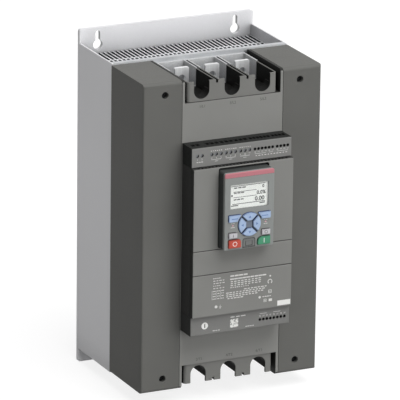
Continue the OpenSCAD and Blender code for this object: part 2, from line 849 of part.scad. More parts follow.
// Slotted clamp screws at the bottom of each screw hole
module clamp_screws(front, z, poles, r, depth) {
    for (x = poles) difference() {
        rod(x, front + depth, z, r - 0.2, slotted_h);
        translate([x, front + depth - slotted_h, z]) rotate([90, 35, 0])
            cube([2 * r, 0.6, 1.6], center = true);
    }
}

module terminal_screws() {
    color("#a9abad") {
        clamp_screws(strip_front, terminal_z_up, power_poles, relay_r, relay_depth);
        clamp_screws(strip_front, terminal_z_up, signal_poles, signal_r, signal_depth);
        clamp_screws(low_strip_front, lower_terminal_z, lower_row, signal_r, signal_depth);
    }
}

// A lid of the control module between two heights: front wall and skirt
module lid(low, high) {
    lo = [-module_w / 2, module_front, low + seam / 2];
    hi = [module_w / 2, lid_back, high - seam / 2];
    difference() {
        front_box(lo, hi, module_r, module_r, module_r);
        block(lo + module_wall * [1, 1, 1], hi + [-module_wall, over, -module_wall]);
    }
}

// The keypad's outline in its bay, grown by a gap
module bay_outline(gap, above) {
    rounded([-keypad_w / 2 - gap, keypad_bottom - gap], [keypad_w / 2 + gap, keypad_top + above],
        keypad_r * [1, 1, 1, 1]);
}

// Upper lid with the keypad's bay and a row of vents along its top
module upper_cover() {
    vent_count = floor((module_w - 8) / vent_pitch);
    bay_wall = 1.4;
    color("#7f7f7c") difference() {
        union() {
            lid(slot_top, main_top);
            intersection() {
                forwards(bay_floor + module_wall, bay_d + module_wall - module_r)
                    bay_outline(bay_gap + bay_wall, finger_gap + bay_wall);
                block([-module_w / 2, module_front, slot_top + seam / 2],
                    [module_w / 2, lid_back, main_top - seam / 2]);
            }
        }
        forwards(bay_floor, bay_d + over) bay_outline(bay_gap, finger_gap);
        translate([0, 0, socket_z]) forwards(bay_floor + module_wall + over, module_wall + 2 * over)
            square(socket + 2 * fit * [1, 1], center = true);
        for (i = [0 : vent_count - 1]) translate([(i - (vent_count - 1) / 2) * vent_pitch - vent_w / 2,
            module_front + module_wall, main_top - module_wall]) cube([vent_w, 4, module_wall + over]);
    }
}

module slot_cover() {
    color("#7f7f7c") lid(lower_top, slot_top);
}

module lower_cover() {
    color("#7f7f7c") lid(main_bottom, lower_top);
}

// Keypad body with round corners, its front edges rounded where front_r is above zero
module keypad_body(front, back, inset, front_r) {
    lo = [inset - keypad_w / 2, front, keypad_bottom + inset];
    hi = [keypad_w / 2 - inset, back, keypad_top - inset];
    r = max(keypad_r - inset, 0.5);
    intersection() {
        front_box(lo, hi, front_r, front_r, front_r);
        forwards(back, back - front) rounded([lo.x, lo.z], [hi.x, hi.z], r * [1, 1, 1, 1]);
    }
}

module keypad_case() {
    post_in = keypad_wall + 3;
    floor_front = keypad_back - keypad_wall - socket_reach;
    color("#3f4242") difference() {
        union() {
            difference() {
                keypad_body(case_front, keypad_back, 0, 0);
                keypad_body(case_front - over, keypad_back - keypad_wall, keypad_wall, 0);
            }
            for (x = [-1, 1], z = [keypad_bottom + post_in, keypad_top - post_in])
                translate([x * (keypad_w / 2 - post_in), 0, z])
                    forwards(keypad_back - over, keypad_back - over - keypad_board_back)
                        square(post_w - 1, center = true);
            translate([0, 0, socket_z]) forwards(keypad_back, keypad_back - floor_front)
                square(socket + 2 * (1 + keypad_wall) * [1, 1], center = true);
        }
        translate([0, 0, socket_z]) forwards(keypad_back + over, socket_reach + over)
            square(socket + 2 * [1, 1], center = true);
    }
}

// Outlines of the keys about the middle of the ring, grown by g
module soft_outline(g) {
    difference() {
        rounded(soft_lo - g * [1, 1], soft_hi + g * [1, 1], (small_r + g) * [1, 1, 1, 1]);
        circle(ring_r + ring_gap - g);
    }
}

module grey_outline(g) {
    rounded(grey_lo - g * [1, 1], grey_hi + g * [1, 1], (small_r + g) * [1, 1, 1, 1]);
}

module stop_outline(g) {
    rounded(stop_lo - g * [1, 1], stop_hi + g * [1, 1], [small_r, small_r, 4, small_r] + g * [1, 1, 1, 1]);
}

module start_outline(g) {
    rounded(start_lo - g * [1, 1], start_hi + g * [1, 1],
        [small_r, small_r, small_r, 6.5] + g * [1, 1, 1, 1]);
}

// One quarter of the ring, pointing right
module ring_outline(g) {
    apex = (ring_split / 2 - g) * sqrt(2);
    near = ring_inner - g;
    far = ring_r + 5;
    intersection() {
        circle(ring_r + g);
        polygon([[near, apex - near], [far, apex - far], [far, far - apex], [near, near - apex]]);
    }
}

// Every key opening in the keypad's front, grown by g
module key_outlines(g) {
    for (s = [0, 1]) mirror([s, 0]) {
        soft_outline(g);
        grey_outline(g);
    }
    for (a = [0 : 90 : 270]) rotate(a) ring_outline(g);
    stop_outline(g);
    start_outline(g);
}

// The port cover's own outline, grown by g
module port_outline(g) {
    rounded([-port_w / 2 - g, port_axis[1] - port_t / 2 - g], [port_w / 2 + g, port_top + g],
        [0, 0, 3 + g, 3 + g]);
}

module window_outline(g) {
    translate([0, window_z])
        rounded([-window_w / 2 - g, -window_h / 2 - g], [window_w / 2 + g, window_h / 2 + g],
            (1 + g) * [1, 1, 1, 1]);
}

module keypad_front() {
    color("#757a79") difference() {
        keypad_body(keypad_front_y, case_front - fit, 0, keypad_edge_r);
        keypad_body(bezel_back, case_front + over, keypad_wall, 0);
        translate([0, 0, ring_z]) forwards(bezel_back + over, keypad_wall + 2 * over) {
            key_outlines(key_gap);
            port_outline(fit);
            for (p = lamp_places) translate(p) circle(lamp_r + fit / 2);
        }
        forwards(bezel_back + over, keypad_wall + 2 * over) window_outline(0);
        forwards(bezel_back + over, over + keypad_wall - window_sink) window_outline(window_lip + fit / 2);
        accent_zone(fit / 2);
        across(-port_w / 2 - port_pin_len - fit, port_w + 2 * (port_pin_len + fit))
            translate([port_axis[0], ring_z + port_axis[1]]) circle(port_pin_r + fit / 2);
    }
}

// The step along the keypad's top edge that the coloured strip fills
module accent_zone(gap) {
    block([-keypad_w / 2 - over, keypad_front_y - over, accent_bottom - gap],
        [keypad_w / 2 + over, keypad_front_y + accent_t, keypad_top + over]);
}

module accent_strip() {
    color("#b8242e") intersection() {
        keypad_body(keypad_front_y, case_front, 0, keypad_edge_r);
        accent_zone(0);
    }
}

module display_window() {
    color("#dfe6e2") forwards(bezel_back, keypad_wall - window_sink) window_outline(window_lip);
}

// The display: its glass against the window, and the tray that stands on the board
module display_panel() {
    color("#eef1ec") forwards(keypad_board_front, keypad_board_front - bezel_back - fit)
        window_outline(0.5);
}

// Keypad board with a dome under each key and the port's socket
module keypad_board() {
    half_w = keypad_w / 2 - keypad_wall - fit;
    color("#2c5f86") {
        forwards(keypad_board_back, board_t) rounded([-half_w, keypad_bottom + keypad_wall + fit],
            [half_w, keypad_top - keypad_wall - fit], 1 * [1, 1, 1, 1]);
        for (p = dome_places) rod(p.x, keypad_board_front + 0.2, ring_z + p.y, 2.4, dome_h + 0.2);
        translate([0, 0, ring_z + (port_axis[1] + port_top) / 2]) forwards(keypad_board_front + 0.2, 4.2)
            square([8, 4], center = true);
    }
}

module status_lamps() {
    color("#e9b7bd") for (p = lamp_places) rod(p.x, keypad_board_front, ring_z + p.y, lamp_r,
        keypad_board_front - keypad_front_y + 0.2);
}

// A key: crown, cap, the flange behind the keypad's front and the plunger over its dome.
// The children are the outline at the crown, the cap and the flange.
module key(place) {
    cap_front = keypad_front_y - key_proud;
    cap_back = key_flange_back - flange_t / 2;
    translate([0, 0, ring_z]) {
        forwards(cap_front + key_crown, key_crown) children(0);
        forwards(cap_back, cap_back - cap_front - key_crown) children(1);
        forwards(key_flange_back, flange_t) children(2);
        rod(place.x, key_flange_back + plunger_len, place.y, 2, plunger_len + flange_t / 2);
    }
}

module soft_key_right() {
    color("#8fa9d2") key(soft_mid) {
        soft_outline(-key_crown);
        soft_outline(0);
        soft_outline(flange_w);
    }
}

module soft_key_left() {
    mirror([1, 0, 0]) soft_key_right();
}

module nav_key(turn) {
    color("#8fa9d2") key([ring_mid * cos(turn), ring_mid * sin(turn)]) {
        rotate(turn) ring_outline(-key_crown);
        rotate(turn) ring_outline(0);
        rotate(turn) ring_outline(flange_w);
    }
}

module info_key() {
    mirror([1, 0, 0]) mode_key();
}

module mode_key() {
    color("#c4c2c5") key(grey_mid) {
        grey_outline(-key_crown);
        grey_outline(0);
        grey_outline(flange_w);
    }
}

module stop_key() {
    color("#d0463c") key(stop_mid) {
        stop_outline(-key_crown);
        stop_outline(0);
        stop_outline(flange_w);
    }
}

module start_key() {
    color("#3f9a72") key(start_mid) {
        start_outline(-key_crown);
        start_outline(0);
        start_outline(flange_w);
    }
}

// Flap over the keypad's port: a plate with a round lower end on two hinge pins
module port_cover() {
    grip = [10, 1.6];
    color("#6f7473") {
        translate([0, 0, ring_z]) forwards(keypad_front_y + port_t, port_t) intersection() {
            port_outline(0);
            translate([-port_w / 2, port_axis[1]]) square([port_w, port_top - port_axis[1]]);
        }
        translate([0, 0, ring_z]) {
            across(-port_w / 2, port_w) translate(port_axis) circle(port_t / 2);
            across(-port_w / 2 - port_pin_len, port_w + 2 * port_pin_len)
                translate(port_axis) circle(port_pin_r);
            translate([0, 0, port_top - 3]) forwards(keypad_front_y + over, over + 0.5)
                square(grip, center = true);
        }
    }
}

back_plate();
left_side_panel();
right_side_panel();
heat_sink_base();
heat_sink_fins();
fan_tray();
fan_frames();
fan_rotor_left();
fan_rotor_right();
left_cover();
right_cover();
centre_panel();
cover_screws();
top_shroud();
bottom_shroud();
top_insulator();
bottom_insulator();
line_bar(phases[0]);  // line_bar_1
line_bar(phases[1]);  // line_bar_2
line_bar(phases[2]);  // line_bar_3
load_bar(phases[0]);  // load_bar_1
load_bar(phases[1]);  // load_bar_2
load_bar(phases[2]);  // load_bar_3
thyristor_module(phases[0]);  // thyristor_module_1
thyristor_module(phases[1]);  // thyristor_module_2
thyristor_module(phases[2]);  // thyristor_module_3
bypass_contactor(phases[0]);  // bypass_contactor_1
bypass_contactor(phases[1]);  // bypass_contactor_2
bypass_contactor(phases[2]);  // bypass_contactor_3
current_transformer(phases[0]);  // current_transformer_1
current_transformer(phases[1]);  // current_transformer_2
current_transformer(phases[2]);  // current_transformer_3
power_board();
board_pillars();
control_case();
control_board();
terminal_strip();
lower_strip();
terminal_screws();
upper_cover();
slot_cover();
lower_cover();
keypad_case();
keypad_front();
keypad_board();
display_panel();
display_window();
accent_strip();
status_lamps();
port_cover();
soft_key_left();
soft_key_right();
nav_key(0);  // nav_key_right
nav_key(90);  // nav_key_up
nav_key(180);  // nav_key_left
nav_key(270);  // nav_key_down
info_key();
mode_key();
stop_key();
start_key();
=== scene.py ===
"""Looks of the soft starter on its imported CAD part: softened edges, materials, prints, light and camera."""
import json
import math

import bmesh
import bpy
from mathutils import Matrix, Vector

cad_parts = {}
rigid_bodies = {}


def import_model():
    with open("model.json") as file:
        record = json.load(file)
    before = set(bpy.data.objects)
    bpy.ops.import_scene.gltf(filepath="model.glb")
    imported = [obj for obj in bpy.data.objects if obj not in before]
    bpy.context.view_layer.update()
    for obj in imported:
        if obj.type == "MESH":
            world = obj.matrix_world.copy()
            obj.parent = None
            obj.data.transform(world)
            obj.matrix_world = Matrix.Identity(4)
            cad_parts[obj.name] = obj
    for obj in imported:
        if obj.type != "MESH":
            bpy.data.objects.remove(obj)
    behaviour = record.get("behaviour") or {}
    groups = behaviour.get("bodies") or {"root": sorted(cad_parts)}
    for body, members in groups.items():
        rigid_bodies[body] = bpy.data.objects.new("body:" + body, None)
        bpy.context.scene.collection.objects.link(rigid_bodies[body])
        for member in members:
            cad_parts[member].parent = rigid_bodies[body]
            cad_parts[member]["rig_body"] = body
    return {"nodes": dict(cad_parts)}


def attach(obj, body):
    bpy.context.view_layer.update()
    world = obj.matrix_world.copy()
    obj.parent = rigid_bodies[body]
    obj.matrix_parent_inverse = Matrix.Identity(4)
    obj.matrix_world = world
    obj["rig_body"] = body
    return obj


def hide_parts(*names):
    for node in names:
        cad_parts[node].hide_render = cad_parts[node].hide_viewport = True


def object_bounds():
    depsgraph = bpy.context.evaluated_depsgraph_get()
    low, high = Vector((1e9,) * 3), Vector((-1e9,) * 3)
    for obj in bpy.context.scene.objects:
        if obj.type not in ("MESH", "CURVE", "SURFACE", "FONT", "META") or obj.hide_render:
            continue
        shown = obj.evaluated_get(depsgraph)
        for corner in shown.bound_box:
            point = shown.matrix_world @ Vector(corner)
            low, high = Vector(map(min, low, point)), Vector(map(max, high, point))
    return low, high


MM = 0.001

for left_over in list(bpy.data.objects):
    bpy.data.objects.remove(left_over)
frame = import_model()
cad_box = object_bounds()
NODES = frame["nodes"]
BODY_OF = {name: piece["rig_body"] for name, piece in NODES.items()}

PHASES = (1, 2, 3)
BARS = [f"{end}_bar_{phase}" for phase in PHASES for end in ("line", "load")]
BLUE_KEYS = ("soft_key_left", "soft_key_right", "nav_key_right", "nav_key_up", "nav_key_left", "nav_key_down")
GREY_KEYS = ("info_key", "mode_key")
KEYS = BLUE_KEYS + GREY_KEYS + ("stop_key", "start_key")

# Depths, in mm, of the front faces that carry print or a coloured skin
SHROUD_Y, CENTRE_Y, STRIP_Y, LOW_STRIP_Y, LID_Y = -207.0, -209.5, -238.5, -240.5, -245.5
DISPLAY_Y, KEYPAD_Y = -260.7, -263.0
# Softened keys end this far forward, in mm, which leaves their symbols room inside the CAD's own size
KEY_Y = -265.28
# Height, in mm, of the middle of the keypad's ring of keys
RING_Z = 23.9


# Small tools

def linear(code):
    """An sRGB hex colour as the linear values that shaders take."""
    parts = [int(code[i:i + 2], 16) / 255 for i in (0, 2, 4)]
    return [p / 12.92 if p <= 0.04045 else ((p + 0.055) / 1.055) ** 2.4 for p in parts] + [1.0]


def add(tree, kind, inputs=None, **settings):
    """Adds a node with its settings. Each input takes a value, or the output that is linked to it."""
    made = tree.nodes.new(kind)
    for name, value in settings.items():
        setattr(made, name, value)
    for name, value in (inputs or {}).items():
        if isinstance(value, bpy.types.NodeSocket):
            tree.links.new(value, made.inputs[name])
        else:
            made.inputs[name].default_value = value
    return made


def empty_tree(owner):
    """The node tree of a material or of the world, with nothing in it."""
    owner.use_nodes = True
    owner.node_tree.nodes.clear()
    return owner.node_tree


def new_material(name):
    """A material, its node tree, and the Object coordinates that its patterns read."""
    made = bpy.data.materials.new(name)
    tree = empty_tree(made)
    return made, tree, add(tree, "ShaderNodeTexCoord").outputs["Object"]


def dressed(made, **sockets):
    """The material with its Principled shader, whose sockets take constants or the tree's outputs."""
    tree = made.node_tree
    shader = add(tree, "ShaderNodeBsdfPrincipled", {k.replace("_", " "): v for k, v in sockets.items()})
    add(tree, "ShaderNodeOutputMaterial", {"Surface": shader.outputs["BSDF"]})
    return made


# Materials

# Sockets of a Mix node for colours: the share of the second colour, both colours, and the mixed one
SHARE, FIRST, SECOND, MIXED = 0, 6, 7, 2
# Nearly all values of a noise lie between these two
NOISE_SPAN = {"From Min": 0.3, "From Max": 0.7}
# Rays that feel for walls round a point, where painted shade darkens the colour
CORNER_RAYS = 8
# Colours of dust, of painted shade in gaps, of soldered pads, and of what shows through rubbed ink
DUST, GAP_SHADE, SOLDER, RUBBED = "C4C3BF", "161616", "B9BBB4", "80807D"
# Heights, in mm, between which the painted shade on the sheets fades out, round the cooling duct's lower end
PAINTED_SHADE_LOW, PAINTED_SHADE_HIGH = -216.0, -206.0
# A distance in mm that lies outside every piece
FAR = 1000.0


def inner_share(tree, place, skin, rim, side):
    """How much of its darker inner colour a moulding shows: none on its front skin, and all behind it.

    The skin's face is at the depth skin, in mm. The skin is 0.3 mm thick and fades out over 0.5 mm more. Past
    side, in mm from the middle, it is drawn 3 mm round the corner. Wall tops, at the height rim in mm, show
    only a fifth of the inner colour, so that the painted shade stays off these lit faces."""
    where = add(tree, "ShaderNodeSeparateXYZ", {0: place})
    reach = add(tree, "ShaderNodeMath", {0: where.outputs["X"]}, operation="ABSOLUTE")
    corner = add(tree, "ShaderNodeMath", {0: reach.outputs[0], 1: side * MM}, operation="GREATER_THAN")
    depth = add(tree, "ShaderNodeMath", {0: corner.outputs[0], 1: -3 * MM, 2: where.outputs["Y"]},
                operation="MULTIPLY_ADD")
    behind = add(tree, "ShaderNodeMapRange", {"Value": depth.outputs[0], "From Min": (skin + 0.3) * MM,
                                              "From Max": (skin + 0.8) * MM})
    below = add(tree, "ShaderNodeMapRange", {"Value": where.outputs["Z"], "From Min": (rim - 0.6) * MM,
                                             "From Max": (rim - 0.2) * MM, "To Min": 1.0, "To Max": 0.2})
    return add(tree, "ShaderNodeMath", {0: behind.outputs["Result"], 1: below.outputs["Result"]},
               operation="MULTIPLY").outputs[0]


def moulded_plastic(name, colour, shade, rough=(0.46, 0.58), dust=0.03, gloss=0.08, skin=None, inner=None,
                    rim=FAR, side=FAR, hole=9.0):
    """PC/ABS from a spark-eroded mould: matt, nearly even in colour, with a fine grain that scatters shine.

    The real grain is about 0.3 mm. It is drawn coarser, at 2.6 mm, so that it shows at all in the render.
    Clouds 90 mm wide stand for flow marks of the melt, and faces that look up carry a film of dust.
    With skin, faces behind the front skin take the darker inner colour; on the shroud and the centre panel
    this is painted shade on the walls of their chambers and gaps.
    Holes and gaps no wider than hole, in mm, get painted shade, which darkens their walls."""
    grain, cloud = 2.6 * MM, 90 * MM
    made, tree, place = new_material(name)
    flow = add(tree, "ShaderNodeTexNoise", {"Vector": place, "Scale": 1 / cloud, "Detail": 3.0})
    grit = add(tree, "ShaderNodeTexNoise", {"Vector": place, "Scale": 1 / grain, "Detail": 2.0})
    share = add(tree, "ShaderNodeMapRange", {"Value": flow.outputs["Fac"], **NOISE_SPAN})
    shown = add(tree, "ShaderNodeMix", {SHARE: share.outputs["Result"], FIRST: linear(shade),
                                        SECOND: linear(colour)}, data_type="RGBA")
    if skin is not None:
        hidden = inner_share(tree, place, skin, rim, side)
        shown = add(tree, "ShaderNodeMix", {SHARE: hidden, FIRST: shown.outputs[MIXED],
                                            SECOND: linear(inner)}, data_type="RGBA")
    facing = add(tree, "ShaderNodeSeparateXYZ", {0: add(tree, "ShaderNodeNewGeometry").outputs["Normal"]})
    film = add(tree, "ShaderNodeMapRange", {"Value": facing.outputs["Z"], "From Min": 0.4, "From Max": 1.0,
                                            "To Max": dust})
    dusty = add(tree, "ShaderNodeMix", {SHARE: film.outputs["Result"], FIRST: shown.outputs[MIXED],
                                        SECOND: linear(DUST)}, data_type="RGBA")
    # Painted shade: the walls of narrow holes and gaps darken towards near black
    walled = add(tree, "ShaderNodeAmbientOcclusion", {"Distance": hole * MM}, samples=CORNER_RAYS)
    open_air = add(tree, "ShaderNodeMapRange", {"Value": walled.outputs["AO"], "From Min": 0.1,
                                                "From Max": 0.5})
    wear_and_gap_shade = add(tree, "ShaderNodeMix", {SHARE: open_air.outputs["Result"], FIRST: linear(GAP_SHADE),
                                       SECOND: dusty.outputs[MIXED]}, data_type="RGBA")
    sheen = add(tree, "ShaderNodeMapRange", {"Value": grit.outputs["Fac"], **NOISE_SPAN, "To Min": rough[0],
                                             "To Max": rough[1]})
    bump = add(tree, "ShaderNodeBump", {"Height": grit.outputs["Fac"], "Strength": 0.18,
                                        "Distance": 0.12 * MM})
    return dressed(made, Base_Color=wear_and_gap_shade.outputs[MIXED], Roughness=sheen.outputs["Result"],
                   Normal=bump.outputs["Normal"], IOR=1.52, Specular_IOR_Level=gloss)


def powder_coat(name, colour, shade, corner_shade):
    """Polyester powder coat on steel sheet: light grey, satin, with the soft orange peel of a baked film.

    The peel's waves are about 1.5 mm and are drawn at 4 mm, so that they show. Clouds 140 mm wide are the
    uneven thickness of the film. Corners, felt for 70 mm round a point, are darkened towards the given corner
    colour as painted shade, down to the duct's lower end."""
    wave, cloud, corner_reach = 4 * MM, 140 * MM, 70 * MM
    made, tree, place = new_material(name)
    peel = add(tree, "ShaderNodeTexNoise", {"Vector": place, "Scale": 1 / wave, "Detail": 1.0})
    film = add(tree, "ShaderNodeTexNoise", {"Vector": place, "Scale": 1 / cloud, "Detail": 4.0})
    share = add(tree, "ShaderNodeMapRange", {"Value": film.outputs["Fac"], **NOISE_SPAN})
    paint = add(tree, "ShaderNodeMix", {SHARE: share.outputs["Result"], FIRST: linear(shade),
                                        SECOND: linear(colour)}, data_type="RGBA")
    satin = add(tree, "ShaderNodeMapRange", {"Value": film.outputs["Fac"], **NOISE_SPAN, "To Min": 0.38,
                                             "To Max": 0.5})
    bump = add(tree, "ShaderNodeBump", {"Height": peel.outputs["Fac"], "Strength": 0.2,
                                        "Distance": 0.15 * MM})
    # Painted shade: the paint darkens towards the corner colour where walls stand near
    corner = add(tree, "ShaderNodeAmbientOcclusion", {"Distance": corner_reach}, samples=CORNER_RAYS)
    unshaded = add(tree, "ShaderNodeMapRange", {"Value": corner.outputs["AO"], "From Min": 0.3, "From Max": 0.9})
    height = add(tree, "ShaderNodeSeparateXYZ", {0: place}).outputs["Z"]
    outside = add(tree, "ShaderNodeMapRange", {"Value": height, "From Min": PAINTED_SHADE_LOW * MM,
                                               "From Max": PAINTED_SHADE_HIGH * MM, "To Min": 1.0, "To Max": 0.0})
    clear = add(tree, "ShaderNodeMath", {0: unshaded.outputs["Result"], 1: outside.outputs["Result"]},
                operation="MAXIMUM")
    shaded_paint = add(tree, "ShaderNodeMix", {SHARE: clear.outputs[0], FIRST: linear(corner_shade),
                                         SECOND: paint.outputs[MIXED]}, data_type="RGBA")
    return dressed(made, Base_Color=shaded_paint.outputs[MIXED], Roughness=satin.outputs["Result"],
                   Normal=bump.outputs["Normal"], IOR=1.5, Coat_Weight=0.15, Coat_Roughness=0.35)


def drawn_metal(name, colour, shade, stretch, rough, metallic=1.0, walls=None):
    """Bare or plated metal with the lines of its making, which streak its colour and its gloss.

    Extruded aluminium has them along its length, and bar along its drawing. stretch is a streak's size along
    X, Y and Z, in mm. Real lines are about 0.1 mm wide and are drawn 0.8 mm wide, so that they show. Screws
    and pillars have spots 2 mm wide instead. Stains are 25 mm wide. With walls, the faces that look sideways
    take that dark colour as painted shade of the deep gaps between fins, and only the saw-cut ends keep the
    metal's colour."""
    stain_width = 25 * MM
    made, tree, place = new_material(name)
    drawn = add(tree, "ShaderNodeMapping", {"Vector": place, "Scale": [1 / (s * MM) for s in stretch]})
    streaks = add(tree, "ShaderNodeTexNoise", {"Vector": drawn.outputs["Vector"], "Scale": 1.0,
                                               "Detail": 4.0})
    stain = add(tree, "ShaderNodeTexNoise", {"Vector": place, "Scale": 1 / stain_width, "Detail": 5.0})
    both = add(tree, "ShaderNodeMath", {0: streaks.outputs["Fac"], 1: stain.outputs["Fac"]},
               operation="MULTIPLY")
    share = add(tree, "ShaderNodeMapRange", {"Value": both.outputs[0], "From Min": 0.12, "From Max": 0.4})
    skin = add(tree, "ShaderNodeMix", {SHARE: share.outputs["Result"], FIRST: linear(shade),
                                       SECOND: linear(colour)}, data_type="RGBA")
    # Painted shade: faces that look sideways take the dark wall colour
    if walls is not None:
        facing = add(tree, "ShaderNodeSeparateXYZ", {0: add(tree, "ShaderNodeNewGeometry").outputs["Normal"]})
        upright = add(tree, "ShaderNodeMath", {0: facing.outputs["Z"]}, operation="ABSOLUTE")
        skin = add(tree, "ShaderNodeMix", {SHARE: upright.outputs[0], FIRST: linear(walls),
                                           SECOND: skin.outputs[MIXED]}, data_type="RGBA")
    gloss = add(tree, "ShaderNodeMapRange", {"Value": streaks.outputs["Fac"], **NOISE_SPAN,
                                             "To Min": rough[0], "To Max": rough[1]})
    bump = add(tree, "ShaderNodeBump", {"Height": streaks.outputs["Fac"], "Strength": 0.12,
                                        "Distance": 0.04 * MM})
    return dressed(made, Base_Color=skin.outputs[MIXED], Roughness=gloss.outputs["Result"],
                   Normal=bump.outputs["Normal"], Metallic=metallic)


def filled_resin(name, colour, shade, corner_shade):
    """Glass-filled moulding compound: dull, with pale flecks where bundles of fibre lie near the skin.

    The flecks are 3 mm wide, as long as the chopped fibre, and the clouds in the melt 40 mm. Corners, felt
    for 30 mm round a point, are darkened towards the given corner colour as painted shade."""
    fleck, cloud, corner_reach = 3 * MM, 40 * MM, 30 * MM
    made, tree, place = new_material(name)
    cells = add(tree, "ShaderNodeTexVoronoi", {"Vector": place, "Scale": 1 / fleck}, feature="F1")
    melt = add(tree, "ShaderNodeTexNoise", {"Vector": place, "Scale": 1 / cloud, "Detail": 3.0})
    mixed = add(tree, "ShaderNodeMath", {0: cells.outputs["Distance"], 1: melt.outputs["Fac"]},
                operation="MULTIPLY")
    share = add(tree, "ShaderNodeMapRange", {"Value": mixed.outputs[0], "From Min": 0.1, "From Max": 0.4})
    body = add(tree, "ShaderNodeMix", {SHARE: share.outputs["Result"], FIRST: linear(shade),
                                       SECOND: linear(colour)}, data_type="RGBA")
    dull = add(tree, "ShaderNodeMapRange", {"Value": melt.outputs["Fac"], **NOISE_SPAN, "To Min": 0.5,
                                            "To Max": 0.62})
    bump = add(tree, "ShaderNodeBump", {"Height": cells.outputs["Distance"], "Strength": 0.1,
                                        "Distance": 0.1 * MM})
    # Painted shade: the resin darkens towards the corner colour where walls stand near
    corner = add(tree, "ShaderNodeAmbientOcclusion", {"Distance": corner_reach}, samples=CORNER_RAYS)
    unshaded = add(tree, "ShaderNodeMapRange", {"Value": corner.outputs["AO"], "From Min": 0.15,
                                             "From Max": 0.85})
    skin = add(tree, "ShaderNodeMix", {SHARE: unshaded.outputs["Result"], FIRST: linear(corner_shade),
                                       SECOND: body.outputs[MIXED]}, data_type="RGBA")
    return dressed(made, Base_Color=skin.outputs[MIXED], Roughness=dull.outputs["Result"],
                   Normal=bump.outputs["Normal"], IOR=1.55)


def silicone_key(name, face, rim):
    """Silicone rubber key: a pale face, and sides in a dark, saturated colour, which is its body colour
    darkened further as painted shade.

    Fingers wear the pale face colour thinner in patches 5 mm wide."""
    patch = 5 * MM
    made, tree, place = new_material(name)
    facing = add(tree, "ShaderNodeSeparateXYZ", {0: add(tree, "ShaderNodeNewGeometry").outputs["Normal"]})
    front = add(tree, "ShaderNodeMapRange", {"Value": facing.outputs["Y"], "From Min": -0.9,
                                             "From Max": -0.55, "To Min": 1.0, "To Max": 0.0})
    wipe = add(tree, "ShaderNodeTexNoise", {"Vector": place, "Scale": 1 / patch, "Detail": 3.0})
    wear_and_gap_shade = add(tree, "ShaderNodeMapRange", {"Value": wipe.outputs["Fac"], **NOISE_SPAN, "To Min": 0.86,
                                            "To Max": 1.0})
    face_share = add(tree, "ShaderNodeMath", {0: front.outputs["Result"], 1: wear_and_gap_shade.outputs["Result"]},
                  operation="MULTIPLY")
    # Painted shade: the sides take the dark rim colour, the front keeps the pale face colour
    skin = add(tree, "ShaderNodeMix", {SHARE: face_share.outputs[0], FIRST: linear(rim), SECOND: linear(face)},
               data_type="RGBA")
    soft = add(tree, "ShaderNodeMapRange", {"Value": wipe.outputs["Fac"], **NOISE_SPAN, "To Min": 0.5,
                                            "To Max": 0.64})
    return dressed(made, Base_Color=skin.outputs[MIXED], Roughness=soft.outputs["Result"], IOR=1.43,
                   Sheen_Weight=0.08, Sheen_Roughness=0.4)


def circuit_board(name, mask, copper):
    """Fibreglass board under solder mask: copper tracks show through as a lighter shade of its colour.

    Real tracks and pads are 1 to 3 mm apart. They are drawn 9 and 6 mm apart, so that they show."""
    track, pad = 9 * MM, 6 * MM
    made, tree, place = new_material(name)
    flat = add(tree, "ShaderNodeMapping", {"Vector": place, "Rotation": (math.radians(90), 0, 0)})
    tracks = add(tree, "ShaderNodeTexBrick", {"Vector": flat.outputs["Vector"], "Scale": 1 / track,
                                              "Mortar Size": 0.06, "Color1": linear(mask),
                                              "Color2": linear(mask), "Mortar": linear(copper)})
    pads = add(tree, "ShaderNodeTexVoronoi", {"Vector": place, "Scale": 1 / pad}, feature="F1")
    dots = add(tree, "ShaderNodeMapRange", {"Value": pads.outputs["Distance"], "From Min": 0.12,
                                            "From Max": 0.18, "To Min": 1.0, "To Max": 0.0})
    skin = add(tree, "ShaderNodeMix", {SHARE: dots.outputs["Result"], FIRST: tracks.outputs["Color"],
                                       SECOND: linear(SOLDER)}, data_type="RGBA")
    return dressed(made, Base_Color=skin.outputs[MIXED], IOR=1.55, Roughness=0.35)


def printed_ink(name, colour, wear=0.12):
    """Pad-printed ink: flat and matt, thin in patches 6 mm wide where hands have rubbed it.

    Some marks of painted shade are drawn with the same flat film.
    """
    patch = 6 * MM
    made, tree, place = new_material(name)
    rub = add(tree, "ShaderNodeTexNoise", {"Vector": place, "Scale": 1 / patch, "Detail": 4.0})
    share = add(tree, "ShaderNodeMapRange", {"Value": rub.outputs["Fac"], "From Min": 0.35, "From Max": 0.65,
                                             "To Max": wear})
    ink = add(tree, "ShaderNodeMix", {SHARE: share.outputs["Result"], FIRST: linear(colour),
                                      SECOND: linear(RUBBED)}, data_type="RGBA")
    return dressed(made, Base_Color=ink.outputs[MIXED], Roughness=0.7)


def cell_print(name, pale, dark):
    """Label printed with square cells 1.3 mm wide, pale and dark in no order, so that they encode nothing."""
    width = 1.3 * MM
    made, tree, place = new_material(name)
    cell = add(tree, "ShaderNodeVectorMath", {0: place, 1: (width, 1.0, width)}, operation="SNAP")
    toss = add(tree, "ShaderNodeTexWhiteNoise", {"Vector": cell.outputs["Vector"]}, noise_dimensions="3D")
    filled = add(tree, "ShaderNodeMath", {0: toss.outputs["Value"], 1: 0.6}, operation="GREATER_THAN")
    ink = add(tree, "ShaderNodeMix", {SHARE: filled.outputs[0], FIRST: linear(pale), SECOND: linear(dark)},
              data_type="RGBA")
    return dressed(made, Base_Color=ink.outputs[MIXED], Roughness=0.7)


def clear_acrylic(name):
    """Clear acrylic window: the display shows through it, and it keeps a weak, sharp reflection.

    Wiping leaves it hazier in patches 14 mm wide."""
    patch = 14 * MM
    made, tree, place = new_material(name)
    wipe = add(tree, "ShaderNodeTexNoise", {"Vector": place, "Scale": 1 / patch, "Detail": 3.0})
    haze = add(tree, "ShaderNodeMapRange", {"Value": wipe.outputs["Fac"], **NOISE_SPAN, "To Min": 0.04,
                                            "To Max": 0.12})
    return dressed(made, Base_Color=linear("F4F8F5"), Roughness=haze.outputs["Result"], IOR=1.49, Alpha=0.1)


